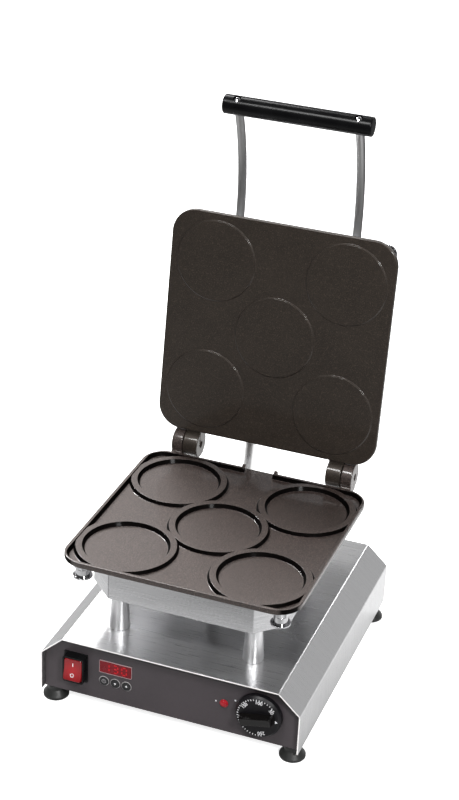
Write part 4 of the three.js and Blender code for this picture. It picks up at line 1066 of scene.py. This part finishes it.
# a cutter reaches this much beyond the casting
beyond = 4 * mm
mould_places = [(0, 0)] + [(x, y) for x in (-mould_reach, mould_reach)
                           for y in (-mould_reach, mould_reach)]
screw_places = {
    f"{along}_{across}": (x, y)
    for across, x in (("left", -screw_reach), ("right", screw_reach))
    for along, y in (("front", -screw_reach), ("rear", screw_reach))
}
plate = squared("lower_cooking_plate", [
    (plate_half - 2 * mm, flange_low),
    (plate_half, flange_low, 1.2 * mm),
    (plate_half, 0, 1.3 * mm),
    (plate_half - 2 * mm, 0),
], plate_corner, corner_steps=corner_steps)
core = squared("core", [
    (plate_half - 8 * mm, -plate_thickness),
    (plate_half - 7 * mm, -plate_thickness, 0.8 * mm),
    (plate_half - 7 * mm, -3 * mm),
], core_corner, corner_steps=corner_steps)
added(plate, core)
tub = squared("tub", [
    (rim_inner - 6 * mm, gutter_floor),
    (rim_inner - 2 * mm, gutter_floor, 1.4 * mm),
    (rim_inner, 0.01 * mm, 0.7 * mm),
    (rim_inner + 2 * mm, 0.03 * mm),
    (rim_inner + 2 * mm, beyond),
], plate_corner - 8 * mm, corner_steps=corner_steps)
land_pattern = turned("land_pattern", [
    (0, gutter_floor - 0.6 * mm),
    (land_radius + 4 * mm, gutter_floor - 0.6 * mm),
    (land_radius + 4 * mm, land_foot),
    (land_radius + 2.2 * mm, land_foot, 1.2 * mm),
    (land_radius, land_top, 0.45 * mm),
    (0, land_top),
], 128)
mould_pattern = turned("mould_pattern", [
    (0, mould_floor),
    (mould_floor_radius, mould_floor, 1.2 * mm),
    (mould_radius, land_top, 0.4 * mm),
    (mould_radius + 2 * mm, land_top + 0.02 * mm),
    (mould_radius + 2 * mm, beyond),
    (0, beyond),
], 128)
for x, y in mould_places:
    cut(tub, placed(copied(land_pattern, "land"), at(x, y)))
cut(plate, tub)

# the spout: a gap in the rear rim over a short lip, between two upright cheeks
spout_half = 17.5 * mm
spout_end = plate_half + 6 * mm
spout_low = -8.2 * mm
cut(plate, block((2 * spout_half, 11 * mm, 10 * mm),
                 at(0, plate_half - 2 * mm, gutter_floor + 5 * mm)))
lip_half = spout_half + 0.2 * mm
lip = extruded("lip", [
    (plate_half - 5.3 * mm, spout_low),
    (spout_end, spout_low),
    (spout_end, gutter_floor),
    (plate_half - 5.3 * mm, gutter_floor),
], -lip_half, lip_half, 0)
added(plate, lip)
for side in (-1, 1):
    cheek = extruded("cheek", [
        (plate_half - 3.6 * mm, spout_low),
        (spout_end, spout_low),
        (spout_end, -1 * mm),
        (plate_half + 3 * mm, 2 * mm),
        (plate_half + 0.8 * mm, 2 * mm),
        (plate_half - 3.2 * mm, -0.8 * mm),
    ], *sorted((side * spout_half, side * (spout_half + 4 * mm))), 0.7 * mm)
    added(plate, cheek)

# the hinge lugs: round ears cast on to the rear edge, bored for the pins
hinge_rise = 8.3 * mm
hinge_behind = 15.5 * mm
axis_y = plate_half + hinge_behind
lug_radius = 16 * mm
lid_lug_near = 79 * mm
lid_lug_far = lid_lug_near + 18 * mm
plate_lug_near = lid_lug_far + 0.6 * mm
plate_lug_far = plate_lug_near + 13 * mm
lug_edge = 1.3 * mm


def lug_outline(axis_z, root, low, high, first, last, steps=30):
    """The side of a hinge ear: an arc between two angles round the axis, and a web to its root."""
    arc = []
    for step in range(steps + 1):
        angle = math.radians(first + (last - first) * step / steps)
        arc.append((axis_y + lug_radius * math.cos(angle), axis_z + lug_radius * math.sin(angle)))
    return [(root, low), (axis_y + 1 * mm, low), *arc, (root, high)]


def pin_bored(piece, axis_z, reach):
    """Bores a piece right across along the axis of the hinge."""
    return cut(piece, cylinder(48, 4.3 * mm, -reach, reach, at(0, axis_y, axis_z)
                               @ turn(quarter_turn, "Y")))


for side in (-1, 1):
    ends = sorted((side * plate_lug_near, side * plate_lug_far))
    outline = lug_outline(hinge_rise, plate_half - 3.2 * mm, -plate_thickness, -1.2 * mm, -66, 205)
    added(plate, extruded("lug", outline, *ends, lug_edge))
pin_bored(plate, hinge_rise, 130 * mm)
for x, y in mould_places:
    cut(plate, placed(copied(mould_pattern, "mould"), at(x, y)))
for x, y in screw_places.values():
    bored(plate, x, y, -plate_thickness - beyond, 7 * mm - plate_thickness, stud_hole)
removed(land_pattern, mould_pattern)
plate_middle = Vector((0, head_y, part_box("lower_plate")[0].z + plate_thickness))
smoothed(placed(plate, at(*plate_middle)))
# The walls inside the lower plate get painted shade, down to a twenty-fifth of the coating's
# colour and shine.
lower_coating = cast_coating(
    "lower_coating", (0.0070, 0.0042, 0.0034), (0.0106, 0.0066, 0.0054),
    (0.120, 0.086, 0.074, 1), (0.50, 0.60), wall_shade=0.04, gloss=0.66, tint=(1, 0.88, 0.84, 1))
fitted(plate, "base", "lower_coating", lower_coating, "lower_plate")

# Thumb-screws: eight chromed and fluted knobs with a flange, four under the lower plate and
# four behind the lid's, on studs that pull each plate against its carrier.
chrome = finish("chrome", (0.50, 0.50, 0.51), (0.58, 0.58, 0.59), cloud=90,
                roughness=(0.08, 0.16), bump=0.03, bump_scale=600, Metallic=1.0)
flutes = 10
flute_steps = 8
flute_depth = 1.3 * mm
fluted_radius = 9.6 * mm
fluted_half = 4.5 * mm
knob = cylinder(flutes * flute_steps, fluted_radius, -fluted_half, fluted_half)
for step in range(1, flute_steps):
    inset = 1 - flute_depth / fluted_radius * math.sin(math.pi * step / flute_steps) ** 0.7
    points_opened(knob, lambda point: round(
        math.atan2(point.y, point.x) / (2 * math.pi) * flutes * flute_steps) % flute_steps == step)
    bpy.ops.transform.resize(value=(inset, inset, 1), center_override=(0, 0, 0))
    bpy.ops.object.mode_set(mode="OBJECT")
edged(knob, 0.35 * mm, 2, 50)
body = turned("knob_body", [
    (0, -9 * mm),
    (2.5 * mm, -9 * mm),
    (2.5 * mm, -3 * mm),
    (2.5 * mm, 0),
    (6 * mm, 0, 0.3 * mm),
    (6 * mm, 4.9 * mm),
    (7.8 * mm, 5.2 * mm, 0.3 * mm),
    (7.8 * mm, 13.6 * mm),
    (11 * mm, 13.6 * mm, 0.5 * mm),
    (11 * mm, 15.6 * mm, 0.7 * mm),
    (10 * mm, 16.1 * mm, 0.5 * mm),
    (7 * mm, 16.1 * mm, 0.4 * mm),
    (6.4 * mm, 15.6 * mm, 0.4 * mm),
    (0, 15.6 * mm),
])
screw_pattern = smoothed(added(knob, body))
stud_start = 3.6 * mm
for corner, (x, y) in screw_places.items():
    spot = at(*plate_middle) @ at(x, y, -plate_thickness - stud_start) @ turn(math.pi, "X")
    screw = placed(copied(screw_pattern, f"lower_knob_{corner}"), spot)
    fitted(screw, f"lower_screw_{corner}", "bright_chrome", chrome, f"lower_thumb_screw_{corner}")

# Hinge pins: two polished pins pressed through the lugs, with slightly domed ends.
# The lid swings on them.
hinge_axis = plate_middle + Vector((0, axis_y, hinge_rise))
for side in ("left", "right"):
    low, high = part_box(f"hinge_pin_{side}")
    length = high.x - low.x
    pin = smoothed(turned(f"pin_{side}", [
        (0, 0),
        (4 * mm, 0, 0.8 * mm),
        (4 * mm, length, 0.8 * mm),
        (0, length),
    ], 48))
    placed(pin, at(low.x, hinge_axis.y, hinge_axis.z) @ turn(quarter_turn, "Y"))
    fitted(pin, "base", "bright_chrome", chrome, f"hinge_pin_{side}")

# Lid plate: the matching casting under a matt dark brown coating, with five low round discs
# that press the batter, a rounded edge, and two wide ears on the hinge pins.
open_angle = math.radians(97.3)
closed_gap = 0.3 * mm
lid_frame = at(*hinge_axis) @ turn(-open_angle, "X")
lid_face = closed_gap - hinge_rise
lid_plate_frame = lid_frame @ at(0, -axis_y, lid_face)
lid_half = 133 * mm
flange_high = 6.2 * mm
disc_radius = 47.4 * mm
disc_drop = -1.5 * mm
lid_plate = squared("lid_cooking_plate", [
    (lid_half - 3 * mm, 0),
    (lid_half, 0, 1.8 * mm),
    (lid_half, flange_high, 1.2 * mm),
    (lid_half - 3 * mm, flange_high),
], plate_corner, corner_steps=corner_steps)
lid_core = squared("lid_core", [
    (lid_half - 7 * mm, 3 * mm),
    (lid_half - 7 * mm, plate_thickness, 0.8 * mm),
    (lid_half - 9 * mm, plate_thickness),
], core_corner, corner_steps=corner_steps)
added(lid_plate, lid_core)
disc_pattern = turned("disc_pattern", [
    (0, disc_drop),
    (disc_radius - 1.0 * mm, disc_drop, 0.7 * mm),
    (disc_radius, -0.01 * mm, 1.0 * mm),
    (disc_radius + 2 * mm, 0.02 * mm),
    (disc_radius + 2 * mm, 1 * mm),
    (0, 1 * mm),
], 128)
for x, y in mould_places:
    added(lid_plate, placed(copied(disc_pattern, "disc"), at(x, y)))
lid_axis_z = hinge_rise - closed_gap
web_low = 2.2 * mm
web_high = 13.2 * mm
web_start = lid_half - 8 * mm
web_end = axis_y - 6 * mm
for side in (-1, 1):
    ends = sorted((side * lid_lug_near, side * lid_lug_far))
    outline = lug_outline(lid_axis_z, lid_half - 6 * mm, web_low, web_high, -158, 158, 44)[1:]
    web = [(web_start, web_low), (web_end, web_low), (web_end, web_high), (web_start, web_high)]
    added(lid_plate, extruded("lug", outline, *ends, lug_edge))
    added(lid_plate, extruded("web", web, *ends, lug_edge))
pin_bored(lid_plate, lid_axis_z, 110 * mm)
for x, y in screw_places.values():
    bored(lid_plate, x, y, 3 * mm, plate_thickness + beyond, stud_hole)
removed(disc_pattern)
smoothed(placed(lid_plate, lid_plate_frame))
lid_coating = cast_coating(
    "lid_coating", (0.0092, 0.0069, 0.0050), (0.0135, 0.0102, 0.0075), (0.048, 0.036, 0.027, 1),
    (0.44, 0.54), wall_shade=1.0, gloss=0.52, tint=(1, 0.88, 0.80, 1))
fitted(lid_plate, "lid", "lid_coating", lid_coating, "upper_plate")

# Lid casing: the deeper pan behind the lid's plate, with its own carrier plate and the four
# thumb-screws at its corners.
lid_steel = brushed(finish(
    "lid_steel", (0.44, 0.44, 0.45), (0.52, 0.52, 0.53), cloud=18, cloud_stretch=(0.4, 1, 0.4),
    roughness=(0.22, 0.30), wear=1500, wear_stretch=(0.02, 1, 1), bump_scale=2000,
    bump_stretch=(0.02, 1, 1), depth=0.00003, Metallic=1.0), (0, 0, 1), 0.3)
upper_pan = dressed("upper_pan", "upper_casing", 0.7 * mm, segments=3)
smoothed(seamed(upper_pan, lid_plate_frame))
fitted(upper_pan, "lid", "brushed_stainless", lid_steel, "upper_casing")
upper_sheet = dressed("upper_carrier_plate", "upper_carrier", 0.6 * mm)
fitted(upper_sheet, "lid", "satin_steel", satin_sheet, "upper_carrier")
for corner, (x, y) in screw_places.items():
    spot = lid_plate_frame @ at(x, y, plate_thickness + stud_start)
    screw = placed(copied(screw_pattern, f"lid_knob_{corner}"), spot)
    fitted(screw, f"upper_screw_{corner}", "bright_chrome", chrome, f"upper_thumb_screw_{corner}")
removed(screw_pattern)

# Handle: two bent satin steel rods with hex nuts at the casing, and a turned black grip
# across their ends, held by a cross-head screw in each rod.
rod_steel = finish(
    "rod_steel", (0.38, 0.38, 0.38), (0.43, 0.43, 0.43), cloud=30, roughness=(0.38, 0.44),
    wear=60, bump=0.02, bump_scale=1500, depth=0.00001, Metallic=1.0)
rod_sides = {"left": -70 * mm, "right": 70 * mm}
casing_front = -axis_y - casing_half
rod_radius = 5 * mm
rod_z = lid_face + 49.5 * mm
rod_start = casing_front + 12 * mm
rod_beyond = 2.7 * mm
grip_y = casing_front - 143 * mm
grip_z = lid_face + 8 * mm
arc_start = casing_front - 4.5 * mm
rod_sweep = 2 * math.atan((rod_z - grip_z) / (arc_start - grip_y))
rod_arc = (arc_start - grip_y) / math.sin(rod_sweep)
picked()
bpy.ops.mesh.primitive_circle_add(vertices=32, radius=rod_radius)
rod = placed(bpy.context.object, at(0, rod_start, rod_z) @ turn(quarter_turn, "X"))
opened(rod)
bpy.ops.mesh.extrude_region_move(TRANSFORM_OT_translate={"value": (0, arc_start - rod_start, 0)})
bpy.ops.mesh.spin(steps=48, angle=rod_sweep, center=(0, arc_start, rod_z - rod_arc),
                  axis=(-1, 0, 0))
bpy.ops.mesh.extrude_region_move(TRANSFORM_OT_translate={"value": (
    0, -rod_beyond * math.cos(rod_sweep), -rod_beyond * math.sin(rod_sweep))})
bpy.ops.mesh.select_all(action="SELECT")
bpy.ops.mesh.remove_doubles(threshold=0.001 * mm)
bpy.ops.mesh.fill_holes(sides=0)
sealed(rod)
nut_half = 2.5 * mm
nut = cylinder(6, 17 * mm / math.sqrt(3), -nut_half, nut_half,
               at(0, casing_front - 0.3 * mm - nut_half, rod_z) @ turn(quarter_turn, "X"))
smoothed(added(rod, edged(nut, 0.6 * mm)))
for side, x in rod_sides.items():
    handle_rod = placed(copied(rod, f"bent_rod_{side}"), lid_frame @ at(x))
    fitted(handle_rod, "lid", "satin_steel", rod_steel, f"handle_rod_{side}")
removed(rod)

grip_plastic = finish("grip_plastic", (8, 8, 9), (14, 14, 15), cloud=40, roughness=(0.20, 0.27),
                      wear=140, bump=0.02, bump_scale=500, Specular_IOR_Level=0.14)
grip_radius = 11 * mm
grip_half = 86 * mm
grip = turned("grip_tube", [
    (0, -grip_half),
    (grip_radius, -grip_half, 1.8 * mm),
    (grip_radius, grip_half, 1.8 * mm),
    (0, grip_half),
], 72)
placed(grip, turn(quarter_turn, "Y"))
along_rod = turn(rod_sweep - quarter_turn, "X")
head_seat = 3.2 * mm - grip_radius
for x in rod_sides.values():
    for radius, start, end in (
        (rod_radius + 0.3 * mm, -3 * mm, grip_radius + 4 * mm),
        (2.3 * mm, -grip_radius - 4 * mm, 0.3 * mm),
        (4.5 * mm, -grip_radius - 4 * mm, head_seat),
    ):
        cut(grip, cylinder(40, radius, start, end, at(x) @ along_rod))
grip_frame = lid_frame @ at(0, grip_y, grip_z)
smoothed(placed(grip, grip_frame))
fitted(grip, "lid", "black_plastic", grip_plastic, "handle_grip")
head_back = head_seat - 0.3 * mm
grip_screw = turned("grip_screw_pattern", [
    (0, head_back - 2.6 * mm),
    (1.6 * mm, head_back - 2.5 * mm, 1 * mm),
    (4.2 * mm, head_back - 1.0 * mm, 0.8 * mm),
    (4.2 * mm, head_back),
    (2 * mm, head_back),
    (2 * mm, -3.3 * mm),
    (0, -3.3 * mm),
], 48)
for angle in (0, quarter_turn):
    slot_place = at(0, 0, head_back - 2.4 * mm) @ turn(angle, "Z")
    cut(grip_screw, block((4.6 * mm, 0.9 * mm, 2.2 * mm), slot_place))
smoothed(grip_screw)
for side, x in rod_sides.items():
    screw = placed(copied(grip_screw, f"cross_screw_{side}"), grip_frame @ at(x) @ along_rod)
    fitted(screw, "lid", "bright_chrome", chrome, f"grip_screw_{side}")
removed(grip_screw)

# Heater lead: a smooth bright metal sheath from a gland on the housing to one on the lid's casing.
sheath = finish("sheath", (0.88, 0.88, 0.87), (0.94, 0.94, 0.93), cloud=30, roughness=(0.26, 0.34),
                wear=80, bump=0.04, depth=0.00002, Metallic=1.0)
lead_x = -26 * mm
lead_ease = 48 * mm
gland_height = 11 * mm
low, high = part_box("lead_gland_base")
lead_start = Vector((lead_x, (low.y + high.y) / 2, high.z + 0.3 * mm))
lid_gland_frame = lid_frame @ at(lead_x, casing_half - axis_y, lid_face + 34 * mm)
lead_end = lid_gland_frame @ Vector((0, gland_height + 0.3 * mm, 0))
lead_turn = lid_gland_frame @ Vector((0, gland_height + 0.3 * mm + lead_ease, 0))
picked()
bpy.ops.curve.primitive_bezier_curve_add()
lead = bpy.context.object
lead.name = "heater_lead"
lead.data.dimensions = "3D"
first, last = lead.data.splines[0].bezier_points
for point in (first, last):
    point.handle_left_type = "FREE"
    point.handle_right_type = "FREE"
first.co = lead_start
first.handle_right = lead_start + Vector((0, 0, lead_ease))
first.handle_left = lead_start - Vector((0, 0, lead_ease))
last.co = lead_end
last.handle_left = lead_turn
last.handle_right = lead_end * 2 - lead_turn
lead.data.resolution_u = 60
lead.data.bevel_depth = 6.2 * mm
lead.data.bevel_resolution = 8
lead.data.use_fill_caps = True
bpy.ops.object.convert(target="MESH")
lead = bpy.context.object
opened(lead)
smoothed(sealed(lead))
coated(lead, sheath)
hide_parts("upper_lead")
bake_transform(lead)

gland_bore = 4.7 * mm
gland_dome = turned("gland_pattern", [
    (gland_bore, 5 * mm),
    (10 * mm, 5 * mm),
    (10 * mm, 9.6 * mm, 0.8 * mm),
    (8.5 * mm, gland_height, 0.8 * mm),
    (6.6 * mm, gland_height, 0.4 * mm),
    (6.4 * mm, 9.4 * mm),
    (gland_bore, 9.4 * mm),
], 48, ring=True)
gland = edged(cylinder(6, 12.5 * mm, 0.3 * mm, 5.3 * mm), 0.5 * mm)
bored(gland, 0, 0, -4 * mm, 14 * mm, gland_bore)
smoothed(added(gland, gland_dome))
base_gland = placed(copied(gland, "gland_on_base"), at(lead_x, lead_start.y, low.z - 0.3 * mm))
fitted(base_gland, "base", "satin_steel", rod_steel, "lead_gland_base")
lid_gland = placed(copied(gland, "gland_on_lid"), lid_gland_frame @ turn(-quarter_turn, "X"))
fitted(lid_gland, "lid", "satin_steel", rod_steel, "lead_gland_lid")
removed(gland)
